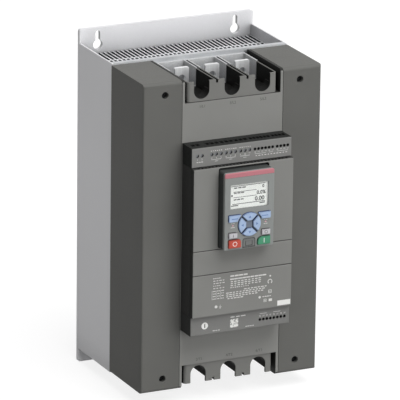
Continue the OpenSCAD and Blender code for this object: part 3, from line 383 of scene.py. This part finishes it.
def display_glass(name, lit, dim):
    """Liquid crystal glass: an even pale ground with the faint grid of its pixels and a weak backlight.

    The pixels are 0.4 mm apart, half of the pattern's own unit."""
    unit = 0.8 * MM
    made, tree, place = new_material(name)
    flat = add(tree, "ShaderNodeMapping", {"Vector": place, "Rotation": (math.radians(90), 0, 0)})
    pixels = add(tree, "ShaderNodeTexBrick", {"Vector": flat.outputs["Vector"], "Scale": 1 / unit,
                                              "Mortar Size": 0.05, "Brick Width": 0.5, "Row Height": 0.5,
                                              "Color1": linear(lit), "Color2": linear(lit),
                                              "Mortar": linear(dim)}, offset=0.0)
    return dressed(made, Base_Color=pixels.outputs["Color"], Roughness=0.3, Emission_Color=linear(lit),
                   Emission_Strength=0.05)


LOOKS = {
    "cover": moulded_plastic("pc_abs_dark_grey", "6D6D6A", "686865", hole=5.5),
    # Its dark inner colour is painted shade on its side walls in the gaps and pockets
    "centre": moulded_plastic("pc_abs_centre_painted_shade_sides", "90908D", "8B8B88", skin=CENTRE_Y, inner="2C2C2B"),
    "lid": moulded_plastic("pc_abs_lid_two_shot", "8C8C89", "878784", skin=LID_Y, inner="383837"),
    # Its dark inner colour is painted shade inside the deep chambers; rim keeps it off the lit wall tops
    "shroud": moulded_plastic("pc_abs_shroud_painted_shade_inside", "858582", "80807D", skin=SHROUD_Y, inner="1E1E1D",
                              rim=205.3, side=58.5, dust=0.0, gloss=0.03),
    "strip": moulded_plastic("pc_abs_strip_two_shot", "8A8A88", "848482", skin=STRIP_Y, inner="2A2B2A",
                             dust=0.0),
    "low_strip": moulded_plastic("pc_abs_low_strip_two_shot", "848482", "7F7F7D", skin=LOW_STRIP_Y,
                                 inner="3E3F3E", dust=0.0),
    "case": moulded_plastic("pc_abs_charcoal", "424241", "3C3C3B"),
    "bezel": moulded_plastic("pc_abs_keypad_grey", "969997", "909391", rough=(0.4, 0.5)),
    "port": moulded_plastic("tpe_port_grey", "7E807F", "787A79", rough=(0.5, 0.62)),
    "keypad": moulded_plastic("pc_abs_keypad_charcoal", "454847", "3F4241"),
    "accent": moulded_plastic("pc_red", "C9858D", "C17D85", rough=(0.25, 0.36), dust=0.0),
    "fan": moulded_plastic("pbt_black", "303234", "2A2B2D"),
    "rotor": moulded_plastic("pbt_black_rotor", "1E1F20", "18191A"),
    "lamp": moulded_plastic("acrylic_light_pipe", "D9B3BA", "D2AAB1", rough=(0.15, 0.25), dust=0.0,
                            gloss=0.5),
    "sheet": powder_coat("powder_coated_steel", "F2F2F4", "EDEDF0", "A2A2A4"),
    # The base is the same aluminium as the fins, given a darker colour as painted shade
    "sink": drawn_metal("extruded_aluminium", "C8CACC", "BCBEC1", (0.8, 0.8, 160.0), (0.42, 0.48)),
    # Painted shade: the fins' sideways faces take the dark wall colour for the gaps between them
    "fins": drawn_metal("extruded_aluminium_fins", "F2F3F4", "E2E3E5", (0.8, 0.8, 160.0), (0.4, 0.55),
                        walls="3C3F42"),
    "bar": drawn_metal("tinned_copper", "EAEBEC", "DBDCDD", (0.8, 6.0, 40.0), (0.34, 0.5), metallic=0.6),
    "screw": drawn_metal("black_zinc_steel", "202122", "161718", (2.0, 2.0, 2.0), (0.4, 0.55), metallic=0.8),
    "zinc": drawn_metal("zinc_plated_steel", "A7A9AC", "8F9194", (2.0, 2.0, 2.0), (0.35, 0.5)),
    "clamp": drawn_metal("dull_nickel_steel", "85878A", "707275", (2.0, 2.0, 2.0), (0.4, 0.55)),
    "insulator": filled_resin("glass_polyester_pale", "D8D9DA", "CCCDCE", "76777A"),
    "module": filled_resin("epoxy_black", "2B2D30", "242628", "1C1D1F"),
    "resin": filled_resin("cast_resin_slate", "3D4248", "353A40", "282B2F"),
    "contactor": filled_resin("phenolic_black", "35373A", "2D2F32", "222426"),
    "power_board": circuit_board("fibreglass_green", "1F5A3A", "347A52"),
    "blue_board": circuit_board("fibreglass_blue", "1F4E78", "35699A"),
    "key_blue": silicone_key("silicone_light_blue", "AFC5E4", "223C70"),
    "key_grey": silicone_key("silicone_pale_grey", "CDCCD0", "3A3438"),
    "key_red": silicone_key("silicone_red", "C65140", "5E1814"),
    "key_green": silicone_key("silicone_green", "4A9673", "0B3A28"),
    "window": clear_acrylic("clear_acrylic"),
    "display": display_glass("liquid_crystal_glass", "FBFDFA", "F0F3EE"),
    "ink_pale": printed_ink("ink_pale_grey", "E2E2DF"),
    "ink_white": printed_ink("ink_white", "F0F0EE", wear=0.05),
    "key_dash": printed_ink("ink_key_blue", "6F8CC4", wear=0.15),
    "ink_dark": printed_ink("ink_dark_grey", "4A4B4A", wear=0.2),
    "crystal": printed_ink("liquid_crystal_dark", "2A2E2B", wear=0.1),
    "patch": cell_print("vinyl_cell_label", "EDEDEA", "A6A6A3"),
    "label": printed_ink("vinyl_label_white", "F2F2EF", wear=0.03),
    "painted_shade_navy": printed_ink("painted_shade_navy", "303A4E", wear=0.15),
    "painted_shade_slate": printed_ink("painted_shade_slate_blue", "707A8A", wear=0.2),
    "painted_groove": printed_ink("painted_groove_shadow", "2E2E2D", wear=0.2),
}

# The CAD nodes that each look covers
NODES_IN = {
    "sheet": ("back_plate", "left_side_panel", "right_side_panel", "fan_tray"),
    "sink": ("heat_sink_base",),
    "fins": ("heat_sink_fins",),
    "fan": ("fan_frames",),
    "rotor": ("fan_rotor_left", "fan_rotor_right"),
    "cover": ("left_cover", "right_cover"),
    "centre": ("centre_panel",),
    "screw": ("cover_screws",),
    "shroud": ("top_shroud", "bottom_shroud"),
    "insulator": ("top_insulator", "bottom_insulator"),
    "bar": BARS,
    "module": [f"thyristor_module_{phase}" for phase in PHASES],
    "contactor": [f"bypass_contactor_{phase}" for phase in PHASES],
    "resin": [f"current_transformer_{phase}" for phase in PHASES],
    "power_board": ("power_board",),
    "zinc": ("board_pillars",),
    "case": ("control_case",),
    "blue_board": ("control_board", "keypad_board"),
    "strip": ("terminal_strip",),
    "low_strip": ("lower_strip",),
    "clamp": ("terminal_screws",),
    "lid": ("upper_cover", "slot_cover", "lower_cover"),
    "keypad": ("keypad_case",),
    "bezel": ("keypad_front",),
    "display": ("display_panel",),
    "window": ("display_window",),
    "accent": ("accent_strip",),
    "lamp": ("status_lamps",),
    "port": ("port_cover",),
    "key_blue": BLUE_KEYS,
    "key_grey": GREY_KEYS,
    "key_red": ("stop_key",),
    "key_green": ("start_key",),
}
LOOK_OF = {node: look for look, nodes in NODES_IN.items() for node in nodes}
for node, look in LOOK_OF.items():
    NODES[node].data.materials.clear()
    NODES[node].data.materials.append(LOOKS[look])


# Pieces

# Points closer than this are one point
WELD_GAP = 0.002 * MM
# Faces that meet at less than FLAT are one face. Edges over HARD are rounded, those over CREASE shade sharp
FLAT, HARD, CREASE = (math.radians(degrees) for degrees in (0.4, 32.0, 50.0))
# Softened pieces whose rounding leaves points closer than the gap
WELDED = KEYS + ("accent_strip",)


def place_piece(name, mesh, body, look):
    """A finished mesh as an object at the origin that rides on its body."""
    mesh.materials.clear()
    mesh.materials.append(LOOKS[look])
    piece = bpy.data.objects.new(name, mesh)
    bpy.context.scene.collection.objects.link(piece)
    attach(piece, body)
    return piece


def plain_mesh(holder):
    """The mesh that an object's modifiers or its curve make. The object itself is removed."""
    bpy.context.scene.collection.objects.link(holder)
    mesh = bpy.data.meshes.new_from_object(holder.evaluated_get(bpy.context.evaluated_depsgraph_get()))
    bpy.data.objects.remove(holder)
    return mesh


def evened(mesh):
    """The mesh with normals weighted by face area, so that wide faces shade flat up to rounded edges."""
    holder = bpy.data.objects.new("evened", mesh)
    holder.modifiers.new("weighted", "WEIGHTED_NORMAL").keep_sharp = True
    return plain_mesh(holder)


def weld(shape):
    """Joins the points of a bmesh that lie within the gap, and drops the faces that this leaves empty."""
    bmesh.ops.remove_doubles(shape, verts=shape.verts, dist=WELD_GAP)
    bmesh.ops.dissolve_degenerate(shape, edges=shape.edges, dist=WELD_GAP)


def soften(node, radius, segments):
    """A copy of a CAD node in its place, with its hard edges rounded, as a mould or a file leaves them."""
    shape = bmesh.new()
    shape.from_mesh(NODES[node].data)
    bmesh.ops.remove_doubles(shape, verts=shape.verts, dist=WELD_GAP)
    bmesh.ops.dissolve_limit(shape, angle_limit=FLAT, verts=shape.verts, edges=shape.edges)
    hard = [e for e in shape.edges if len(e.link_faces) == 2 and e.calc_face_angle() > HARD]
    bmesh.ops.bevel(shape, geom=hard, offset=radius * MM, offset_type="OFFSET", segments=segments,
                    profile=0.5, affect="EDGES", clamp_overlap=True, loop_slide=False)
    if node in KEYS:
        for v in shape.verts:
            v.co.y = max(v.co.y, KEY_Y * MM)
    if node in WELDED:
        weld(shape)
    mesh = bpy.data.meshes.new(node + "_softened")
    shape.to_mesh(mesh)
    shape.free()
    mesh.shade_smooth()
    mesh.set_sharp_from_angle(angle=CREASE)
    mesh = evened(mesh)
    piece = place_piece(node + "_softened", mesh, BODY_OF[node], LOOK_OF[node])
    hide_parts(node)


def grow(tree, **values):
    """The plain mesh that a Geometry Nodes tree makes from these values of its named inputs."""
    holder = bpy.data.objects.new("grown", bpy.data.meshes.new("grown"))
    growth = holder.modifiers.new("growth", "NODES")
    growth.node_group = tree
    for socket in tree.interface.items_tree:
        if socket.in_out == "INPUT":
            growth[socket.identifier] = values[socket.name]
    return plain_mesh(holder)


def mark_row_tree():
    """Geometry Nodes tree for a row of thin marks along X: even ticks, or words of uneven length."""
    tree = bpy.data.node_groups.new("mark_row", "GeometryNodeTree")
    for name, kind in (("Count", "Int"), ("Pitch", "Float"), ("Shortest", "Float"), ("Longest", "Float"),
                       ("Height", "Float"), ("Thickness", "Float"), ("Seed", "Int"), ("Ink", "Material")):
        tree.interface.new_socket(name, in_out="INPUT", socket_type="NodeSocket" + kind)
    tree.interface.new_socket("Geometry", in_out="OUTPUT", socket_type="NodeSocketGeometry")
    given = add(tree, "NodeGroupInput").outputs
    step = add(tree, "ShaderNodeCombineXYZ", {"X": given["Pitch"]})
    line = add(tree, "GeometryNodeMeshLine", {"Count": given["Count"], "Offset": step.outputs[0]},
               mode="OFFSET")
    # For a float, a Random Value node has its ends in sockets 2 and 3 and its result in output 1
    share = add(tree, "FunctionNodeRandomValue", {2: given["Shortest"], 3: given["Longest"],
                                                  "Seed": given["Seed"]}, data_type="FLOAT")
    width = add(tree, "ShaderNodeMath", {0: share.outputs[1], 1: given["Pitch"]}, operation="MULTIPLY")
    size = add(tree, "ShaderNodeCombineXYZ", {"X": width.outputs[0], "Y": given["Thickness"],
                                              "Z": given["Height"]})
    mark = add(tree, "GeometryNodeMeshCube", {"Size": (1, 1, 1)})
    laid = add(tree, "GeometryNodeInstanceOnPoints", {"Points": line.outputs["Mesh"],
                                                      "Instance": mark.outputs["Mesh"],
                                                      "Scale": size.outputs[0]})
    whole = add(tree, "GeometryNodeRealizeInstances", {"Geometry": laid.outputs["Instances"]})
    inked = add(tree, "GeometryNodeSetMaterial", {"Geometry": whole.outputs["Geometry"],
                                                  "Material": given["Ink"]})
    add(tree, "NodeGroupOutput", {"Geometry": inked.outputs["Geometry"]})
    return tree


MARK_ROW = mark_row_tree()
DISC_SIDES, RING_SIDES = 28, 32
# Height of a capital over the font's size, and the steps of a letter's curves
CAPITAL, LETTER_STEPS = 0.7, 3


class Print:
    """Thin shapes of one colour, ink or painted shade, on one flat front face at the depth y, in mm,
    gathered into one piece.
    """

    def __init__(self, y, look, thick=0.08):
        self.y, self.look, self.thick = y, look, thick
        self.shape = bmesh.new()

    def take(self, mesh):
        """Adds a mesh, which is then removed."""
        self.shape.from_mesh(mesh)
        bpy.data.meshes.remove(mesh)
        return self

    def row(self, x0, x1, z, height, count, shortest=0.6, longest=0.94, seed=1):
        """A row of marks from x0 to x1, each between the shortest and the longest share of its pitch.

        Equal shortest and longest give even ticks."""
        pitch = (x1 - x0) / count
        mesh = grow(MARK_ROW, Count=count, Pitch=pitch * MM, Shortest=shortest, Longest=longest,
                    Height=height * MM, Thickness=self.thick * MM, Seed=seed, Ink=LOOKS[self.look])
        mesh.transform(Matrix.Translation(Vector((x0 + pitch / 2, self.y - self.thick / 2, z)) * MM))
        return self.take(mesh)

    def plate(self, points):
        """A flat plate with this outline of (x, z) points, seen from the front."""
        back = [self.shape.verts.new(Vector((x, self.y, z)) * MM) for x, z in points]
        front = [self.shape.verts.new(Vector((x, self.y - self.thick, z)) * MM) for x, z in points]
        faces = [self.shape.faces.new(front), self.shape.faces.new(back[::-1])]
        for i in range(len(points)):
            j = (i + 1) % len(points)
            faces.append(self.shape.faces.new((front[i], back[i], back[j], front[j])))
        bmesh.ops.recalc_face_normals(self.shape, faces=faces)
        return self

    def bar(self, x0, x1, z0, z1):
        return self.plate([(x0, z0), (x1, z0), (x1, z1), (x0, z1)])

    def turned_plate(self, points, turn):
        """A plate with this outline about the middle of the ring of keys, turned by so many degrees."""
        spin = Matrix.Rotation(math.radians(turn), 2)
        corners = [spin @ Vector(p) for p in points]
        return self.plate([(p.x, p.y + RING_Z) for p in corners])

    def band(self, outer, inner, closed=True):
        """A flat band between two outlines of (x, z) points, which have as many points each."""
        loops = [[self.shape.verts.new(Vector((x, y, z)) * MM) for x, z in points]
                 for y, points in ((self.y - self.thick, outer), (self.y - self.thick, inner),
                                   (self.y, inner), (self.y, outer))]
        faces = []
        for i in range(len(outer) if closed else len(outer) - 1):
            j = (i + 1) % len(outer)
            for a, b in zip(loops, loops[1:] + loops[:1]):
                faces.append(self.shape.faces.new((a[i], a[j], b[j], b[i])))
        if not closed:
            faces += [self.shape.faces.new([loop[end] for loop in loops]) for end in (0, -1)]
        bmesh.ops.recalc_face_normals(self.shape, faces=faces)
        return self

    def frame(self, x0, x1, z0, z1, line, cut=0.0):
        """A rectangle drawn with that line width, its upper corners cut off by so much."""
        def outline(inset):
            left, right, low, high = x0 + inset, x1 - inset, z0 + inset, z1 - inset
            if not cut:
                return [(left, low), (right, low), (right, high), (left, high)]
            # The inner outline is cut by less, so that the line is as wide across its corners
            leg = cut - (2 - math.sqrt(2)) * inset
            return [(left, low), (right, low), (right, high - leg), (right - leg, high), (left + leg, high),
                    (left, high - leg)]
        return self.band(outline(0), outline(line))

    def disc(self, x, z, r):
        turn = [2 * math.pi * i / DISC_SIDES for i in range(DISC_SIDES)]
        return self.plate([(x + r * math.cos(a), z + r * math.sin(a)) for a in turn])

    def ring(self, x, z, r, line, start=0.0, sweep=360.0):
        """A ring, or an arc of one, with that line width."""
        closed = sweep == 360.0
        count = RING_SIDES if closed else RING_SIDES + 1
        turn = [math.radians(start + sweep * i / RING_SIDES) for i in range(count)]
        outer, inner = ([(x + q * math.cos(t), z + q * math.sin(t)) for t in turn] for q in (r, r - line))
        return self.band(outer, inner, closed)

    def words(self, text, x, z, height, bold=0.0):
        """Lettering whose middle is at (x, z), with capitals of that height."""
        curve = bpy.data.curves.new("words", "FONT")
        curve.body, curve.size, curve.resolution_u = text, height / CAPITAL * MM, LETTER_STEPS
        curve.offset, curve.extrude = bold * MM, self.thick / 2 * MM
        curve.align_x, curve.align_y = "CENTER", "CENTER"
        mesh = plain_mesh(bpy.data.objects.new("words", curve))
        glyphs = bmesh.new()
        glyphs.from_mesh(mesh)
        weld(glyphs)
        bmesh.ops.dissolve_limit(glyphs, angle_limit=FLAT, verts=glyphs.verts, edges=glyphs.edges)
        glyphs.to_mesh(mesh)
        glyphs.free()
        upright = Matrix.Rotation(math.radians(90), 4, "X")
        mesh.transform(Matrix.Translation(Vector((x, self.y - self.thick / 2, z)) * MM) @ upright)
        return self.take(mesh)

    def done(self, name, body="chassis"):
        """Places what was gathered as one piece on that body."""
        mesh = bpy.data.meshes.new(name)
        self.shape.to_mesh(mesh)
        self.shape.free()
        place_piece(name, mesh, body, self.look)


# Softened mouldings, sheets, bars and keys, with the radius of their edges in mm and its steps

for radius, segments, nodes in (
        (1.0, 3, ("left_cover", "right_cover")),
        (0.5, 2, ("centre_panel", "upper_cover", "slot_cover", "lower_cover", "control_case")),
        (0.3, 2, ("top_shroud", "bottom_shroud", "top_insulator", "bottom_insulator")),
        (0.3, 2, ("terminal_strip", "lower_strip")),
        (0.25, 2, ("keypad_case", "keypad_front", "accent_strip", "port_cover")),
        (0.3, 2, ("back_plate", "left_side_panel", "right_side_panel")),
        (0.4, 2, BARS),
        (0.35, 3, KEYS)):
    for node in nodes:
        soften(node, radius, segments)


# Print on the lower cover, as rows of marks that can't be read, all places in mm

data = Print(LID_Y, "ink_pale")
data.row(-17.9, 7.9, -50.5, 2.0, 4, 0.8, 0.95, seed=2)
data.row(-17.8, 34.6, -54.8, 1.7, 9, 0.8, 0.95, seed=3)
for i, end in enumerate((27.6, 27.6, 27.6, 10.0)):
    data.row(-17.6, end, -58.2 - 2.7 * i, 1.2, 9, 0.4, 0.8, seed=10 + i)
for i, (start, end) in enumerate(((2.0, 36.2), (-23.6, 33.0), (-23.6, 31.0), (-23.6, 22.7), (-22.0, 2.0))):
    data.row(start, end, -70.4 - 2.6 * i, 1.2, round((end - start) / 4.6), 0.5, 0.9, seed=20 + i)
for i in range(5):
    data.row(-42.4, -24.9 if i % 3 else -31.0, -50.8 - 3.4 * i, 1.1, 4, 0.4, 0.85, seed=40 + i)
for column, x in enumerate((-43.4, -37.4, -31.4)):
    data.bar(x - 0.2, x + 0.2, -79.8, -67.0)
    for i in range(4):
        seed = 45 + 4 * column + i
        data.row(x + 0.8, x + 5.4, -68.2 - 3.5 * i, 1.1, 1 + (i + column) % 2, 0.5, 0.9, seed=seed)
# Plain signs beside the rows
data.ring(40.0, -65.0, 3.4, 1.1, -55.0, 290.0).disc(40.3, -57.4, 1.2)
data.frame(38.0, 42.6, -80.8, -76.4, 0.6).row(38.4, 42.2, -78.6, 0.8, 3, seed=52)
data.disc(25.4, -85.0, 1.7).row(29.0, 42.3, -84.8, 1.1, 4, seed=50)
data.frame(31.2, 35.4, -92.4, -88.2, 0.5).bar(32.5, 34.1, -91.1, -89.5).bar(38.6, 43.4, -92.2, -88.7)
data.disc(-37.3, -89.7, 2.0)
EARTH_X = -31.5
for half, z in ((1.9, -90.2), (1.25, -91.4), (0.6, -92.6)):
    data.bar(EARTH_X - half, EARTH_X + half, z - 0.25, z + 0.25)
data.bar(EARTH_X - 0.25, EARTH_X + 0.25, -90.0, -87.6)
data.done("data_print")

Print(LID_Y, "label", 0.12).bar(51.2, 70.0, -100.0, -93.1).done("blank_label")


# Print on the terminal strips and the centre panel

# Pitches in mm of the plug-in signal terminals, the screw clamps, the groups of three clamps, and the poles
SIGNAL_PITCH, CLAMP_PITCH, GROUP_PITCH, POLE_PITCH = 5.08, 6.6, 20.4, 43.5
GROUP_X = [-43.05 + GROUP_PITCH * group for group in range(3)]
CLAMP_X = [-63.45, -56.85] + [start + CLAMP_PITCH * i for start in GROUP_X for i in range(3)]
SIGNAL_X = [start + SIGNAL_PITCH * i for start, count in ((18.65, 6), (50.61, 4)) for i in range(count)]
# Numbers to the right of this stand higher
HIGHER_X = 10.0
# Middle of the round label
ROUND_LABEL = (-50.9, -115.6)

low_print = Print(LOW_STRIP_Y, "ink_pale")
low_print.row(-14.6, 8.1, -108.8, 1.3, 3, seed=60)
low_print.row(-39.6, -28.6, -124.0, 0.9, 3, seed=61).row(7.7, 20.7, -124.3, 0.9, 4, seed=62)
low_print.row(28.3, 38.3, -109.7, 0.5, 1, 1.0, 1.0).row(48.3, 58.3, -109.7, 0.5, 1, 1.0, 1.0)
for i in range(8):
    low_print.words(str(22 + i), 28.79 + SIGNAL_PITCH * i, -112.9, 1.95)
low_print.done("lower_strip_print")
Print(LOW_STRIP_Y, "patch", 0.1).bar(-14.3, -2.7, -123.2, -111.7).done("pale_patch")
Print(LOW_STRIP_Y, "label", 0.1).disc(*ROUND_LABEL, 4.7).done("round_label")
Print(LOW_STRIP_Y - 0.1, "ink_dark", 0.05).words("i", *ROUND_LABEL, 5.6, 0.3).done("round_label_sign")

top_print = Print(STRIP_Y, "ink_pale", 0.06)
for group, start in enumerate(GROUP_X):
    top_print.bar(start - 0.3, start + 13.5, 108.4, 108.9).bar(start + 4.4, start + 8.8, 106.2, 106.7)
    top_print.row(start - 2.0, start + 15.2, 120.4, 0.9, 6, 0.3, 0.7, seed=70 + group)
top_print.row(-65.0, -55.0, 107.4, 0.9, 3, seed=75)
for start, end in ((18.5, 34.0), (38.8, 44.2), (50.4, 66.0)):
    top_print.bar(start, end, 109.0, 109.4)
top_print.row(18.5, 66.0, 106.6, 0.9, 11, 0.3, 0.75, seed=76)
for number, x in enumerate(CLAMP_X + SIGNAL_X, 1):
    top_print.words(str(number), x, 110.6 if x < HIGHER_X else 111.7, 2.05)
top_print.done("terminal_strip_print")

phase_marks = Print(CENTRE_Y, "ink_dark", 0.06)
for phase, x in zip(PHASES, (-POLE_PITCH, 0.0, POLE_PITCH)):
    phase_marks.words(f"{2 * phase - 1}/L{phase}", x, 172.4, 3.6)
    phase_marks.words(f"{2 * phase}/T{phase}", x, -172.4, 3.6)
phase_marks.done("phase_marks")


# Print on the keypad's front, and painted shade round its ring of keys

# How far the side column of lamps and keys, and the soft keys, lie from the middle, in mm
COLUMN_X, SOFT_KEY_X = 23.5, 21.5
THIN_INK = 0.03

# Painted shade: dark lines for the shade in the grooves round the port cover and its inner panel
port_line = Print(KEYPAD_Y, "painted_groove", THIN_INK)
port_line.frame(-8.7, 8.7, RING_Z - 30.9, RING_Z - 19.2, 0.7, cut=1.4)
port_line.frame(-5.2, 5.2, RING_Z - 29.4, RING_Z - 22.0, 1.0)
port_line.done("port_cover_line", "port_cover")

# Painted shade: dark navy bars on the gaps between the ring's keys
ring_gap_shade = Print(KEYPAD_Y, "painted_shade_navy", THIN_INK)
for turn in (45, 135, 225, 315):
    ring_gap_shade.turned_plate(((5.6, -0.55), (16.2, -0.55), (16.2, 0.55), (5.6, 0.55)), turn)
ring_gap_shade.done("ring_gap_shade", "keypad")
# Painted shade: a bluish grey plate on the hub among the ring's keys
hub = Print(KEYPAD_Y, "painted_shade_slate", THIN_INK)
hub.plate([(x, z + RING_Z) for x, z in ((-4.2, -3.4), (-3.4, -4.2), (3.4, -4.2), (4.2, -3.4),
                                        (4.2, 3.4), (3.4, 4.2), (-3.4, 4.2), (-4.2, 3.4))])
hub.done("ring_hub_shade", "keypad")

lamp_print = Print(KEYPAD_Y, "ink_pale", THIN_INK)
for side in (-1, 1):
    for rise, seed in ((3.2, 90), (-2.2, 94)):
        x = side * COLUMN_X
        lamp_print.row(x - 3.0, x + 3.0, RING_Z + rise, 0.8, 2, seed=seed + side)
lamp_print.done("lamp_print", "keypad")


# Display content

crystal = Print(DISPLAY_Y, "crystal")
for z, x0, x1, line in ((76.3, -25.4, 23.5, 0.8), (68.6, -22.0, 11.0, 0.7), (61.1, -22.0, 11.0, 0.7),
                        (52.2, -23.5, 23.5, 0.9)):
    crystal.bar(x0, x1, z - line / 2, z + line / 2)
for z, end, seed in ((73.9, -4.0, 80), (67.0, -6.5, 81), (58.2, -7.0, 82)):
    crystal.row(-22.0, end, z, 1.5, 3, 0.75, 0.95, seed=seed)
for start, end in ((-25.4, -15.0), (15.2, 23.4)):
    crystal.row(start, end, 50.2, 1.5, 1, 0.95, 0.95)
for text, x, z, height, bold in (("0", 20.5, 72.4, 4.0, 0.2), ("0.0%", 17.6, 64.2, 4.8, 0.22),
                                 ("0.00", 15.5, 56.2, 5.6, 0.25)):
    crystal.words(text, x, z, height, bold)
crystal.bar(-25.2, -23.0, 62.8, 65.0)
crystal.done("display_content", "keypad")


# Symbols on the keys

def symbol(look="ink_white"):
    return Print(KEY_Y, look)


for node, turn in (("nav_key_right", 0), ("nav_key_up", 90), ("nav_key_left", 180), ("nav_key_down", 270)):
    symbol("key_dash").turned_plate(((12.2, 0.0), (9.0, 1.9), (9.0, -1.9)), turn).done(node + "_arrow", node)
for node, x in (("soft_key_left", -SOFT_KEY_X), ("soft_key_right", SOFT_KEY_X)):
    symbol("key_dash").row(x - 4.5, x + 4.5, RING_Z + 9.8, 1.1, 1, 1.0, 1.0).done(node + "_dash", node)
symbol("ink_dark").words("i", -COLUMN_X, RING_Z - 12.9, 4.0, 0.15).done("info_key_sign", "info_key")
symbol("ink_dark").ring(COLUMN_X, RING_Z - 12.9, 2.2, 0.6).done("mode_key_sign", "mode_key")
symbol().ring(-21.0, RING_Z - 24.1, 3.2, 0.8).done("stop_key_sign", "stop_key")
symbol().bar(20.3, 21.3, RING_Z - 27.2, RING_Z - 21.0).done("start_key_sign", "start_key")


# Camera, fitted to the photograph's edges: turn, rise and roll in degrees, place, lens and sensor in mm

CAMERA_TURNS = (-25.487, 17.708, 0.734)
CAMERA_PLACE = (-2600.67, -5570.32, 1942.39)
LENS, SENSOR = 433.7, 36.0


def set_camera():
    turn, rise, roll = (math.radians(v) for v in CAMERA_TURNS)
    back = Vector((math.sin(turn) * math.cos(rise), -math.cos(turn) * math.cos(rise), math.sin(rise)))
    right = Vector((math.cos(turn), math.sin(turn), 0))
    up = back.cross(right)
    rolled = Matrix.Rotation(roll, 3, back) @ Matrix((right, up, back)).transposed()
    lens = bpy.data.cameras.new("camera")
    lens.lens, lens.sensor_width = LENS, SENSOR
    lens.clip_start, lens.clip_end = 0.1, 60.0
    camera = bpy.data.objects.new("camera", lens)
    camera.matrix_world = Matrix.Translation(Vector(CAMERA_PLACE) * MM) @ rolled.to_4x4()
    bpy.context.scene.collection.objects.link(camera)
    bpy.context.scene.camera = camera


# Floor and light

WHITE = (1, 1, 1, 1)
# The background's strength where it lights the object, and where it is looked at
SKY_LIGHT, SKY_SEEN = 0.25, 1.0
# The floor's half width in metres, how far it lies under the object, and its glow where it is looked at
FLOOR_HALF, FLOOR_GAP, FLOOR_GLOW = 30.0, 0.2 * MM, 0.82
# Name, direction towards the light, level on a face that looks at it, and the width of its disc in degrees
LIGHTS = (("key_soft_box", (0.12, -0.45, 0.88), 0.65, 50), ("front_fill", (0.36, -0.93, -0.06), 0.74, 60))


def seen_directly(tree):
    """1 for rays that look, straight or in a mirror or glass, and 0 for those that only light."""
    path = add(tree, "ShaderNodeLightPath")
    shiny = add(tree, "ShaderNodeMath", {0: path.outputs["Is Camera Ray"], 1: path.outputs["Is Glossy Ray"]},
                operation="MAXIMUM")
    return add(tree, "ShaderNodeMath", {0: shiny.outputs[0], 1: path.outputs["Is Transmission Ray"]},
               operation="MAXIMUM").outputs[0]


def set_sky():
    world = bpy.data.worlds.new("studio")
    bpy.context.scene.world = world
    tree = empty_tree(world)
    level = add(tree, "ShaderNodeMapRange", {"Value": seen_directly(tree), "To Min": SKY_LIGHT,
                                             "To Max": SKY_SEEN})
    sky = add(tree, "ShaderNodeBackground", {"Color": WHITE, "Strength": level.outputs["Result"]})
    add(tree, "ShaderNodeOutputWorld", {"Surface": sky.outputs["Background"]})


def white_paper(name):
    """Matt paper that glows where it is looked at, so that it is nearly as white as the background."""
    made = bpy.data.materials.new(name)
    tree = empty_tree(made)
    lit = add(tree, "ShaderNodeBsdfDiffuse", {"Color": linear("959595")})
    level = add(tree, "ShaderNodeMath", {0: seen_directly(tree), 1: FLOOR_GLOW}, operation="MULTIPLY")
    glow = add(tree, "ShaderNodeEmission", {"Color": WHITE, "Strength": level.outputs[0]})
    both = add(tree, "ShaderNodeAddShader", {0: lit.outputs["BSDF"], 1: glow.outputs["Emission"]})
    # Seen from below, the floor is clear, so that it never hides the underside
    below = add(tree, "ShaderNodeNewGeometry").outputs["Backfacing"]
    clear = add(tree, "ShaderNodeBsdfTransparent")
    one_way = add(tree, "ShaderNodeMixShader", {0: below, 1: both.outputs["Shader"],
                                                2: clear.outputs["BSDF"]})
    add(tree, "ShaderNodeOutputMaterial", {"Surface": one_way.outputs["Shader"]})
    return made


def lay_floor():
    low = cad_box[0].z - FLOOR_GAP
    corners = [(x * FLOOR_HALF, y * FLOOR_HALF, low) for x, y in ((-1, -1), (1, -1), (1, 1), (-1, 1))]
    mesh = bpy.data.meshes.new("floor")
    mesh.from_pydata(corners, [], [(0, 1, 2, 3)])
    mesh.materials.append(white_paper("white_paper_floor"))
    floor = bpy.data.objects.new("floor", mesh)
    bpy.context.scene.collection.objects.link(floor)


def set_lights():
    for name, towards, level, spread in LIGHTS:
        light = bpy.data.lights.new(name, "SUN")
        light.energy, light.angle = level * math.pi, math.radians(spread)
        lamp = bpy.data.objects.new(name, light)
        lamp.rotation_mode = "QUATERNION"
        lamp.rotation_quaternion = Vector(towards).to_track_quat("Z", "Y")
        bpy.context.scene.collection.objects.link(lamp)


set_camera()
set_sky()
lay_floor()
set_lights()
bpy.context.scene.view_settings.view_transform = "Standard"
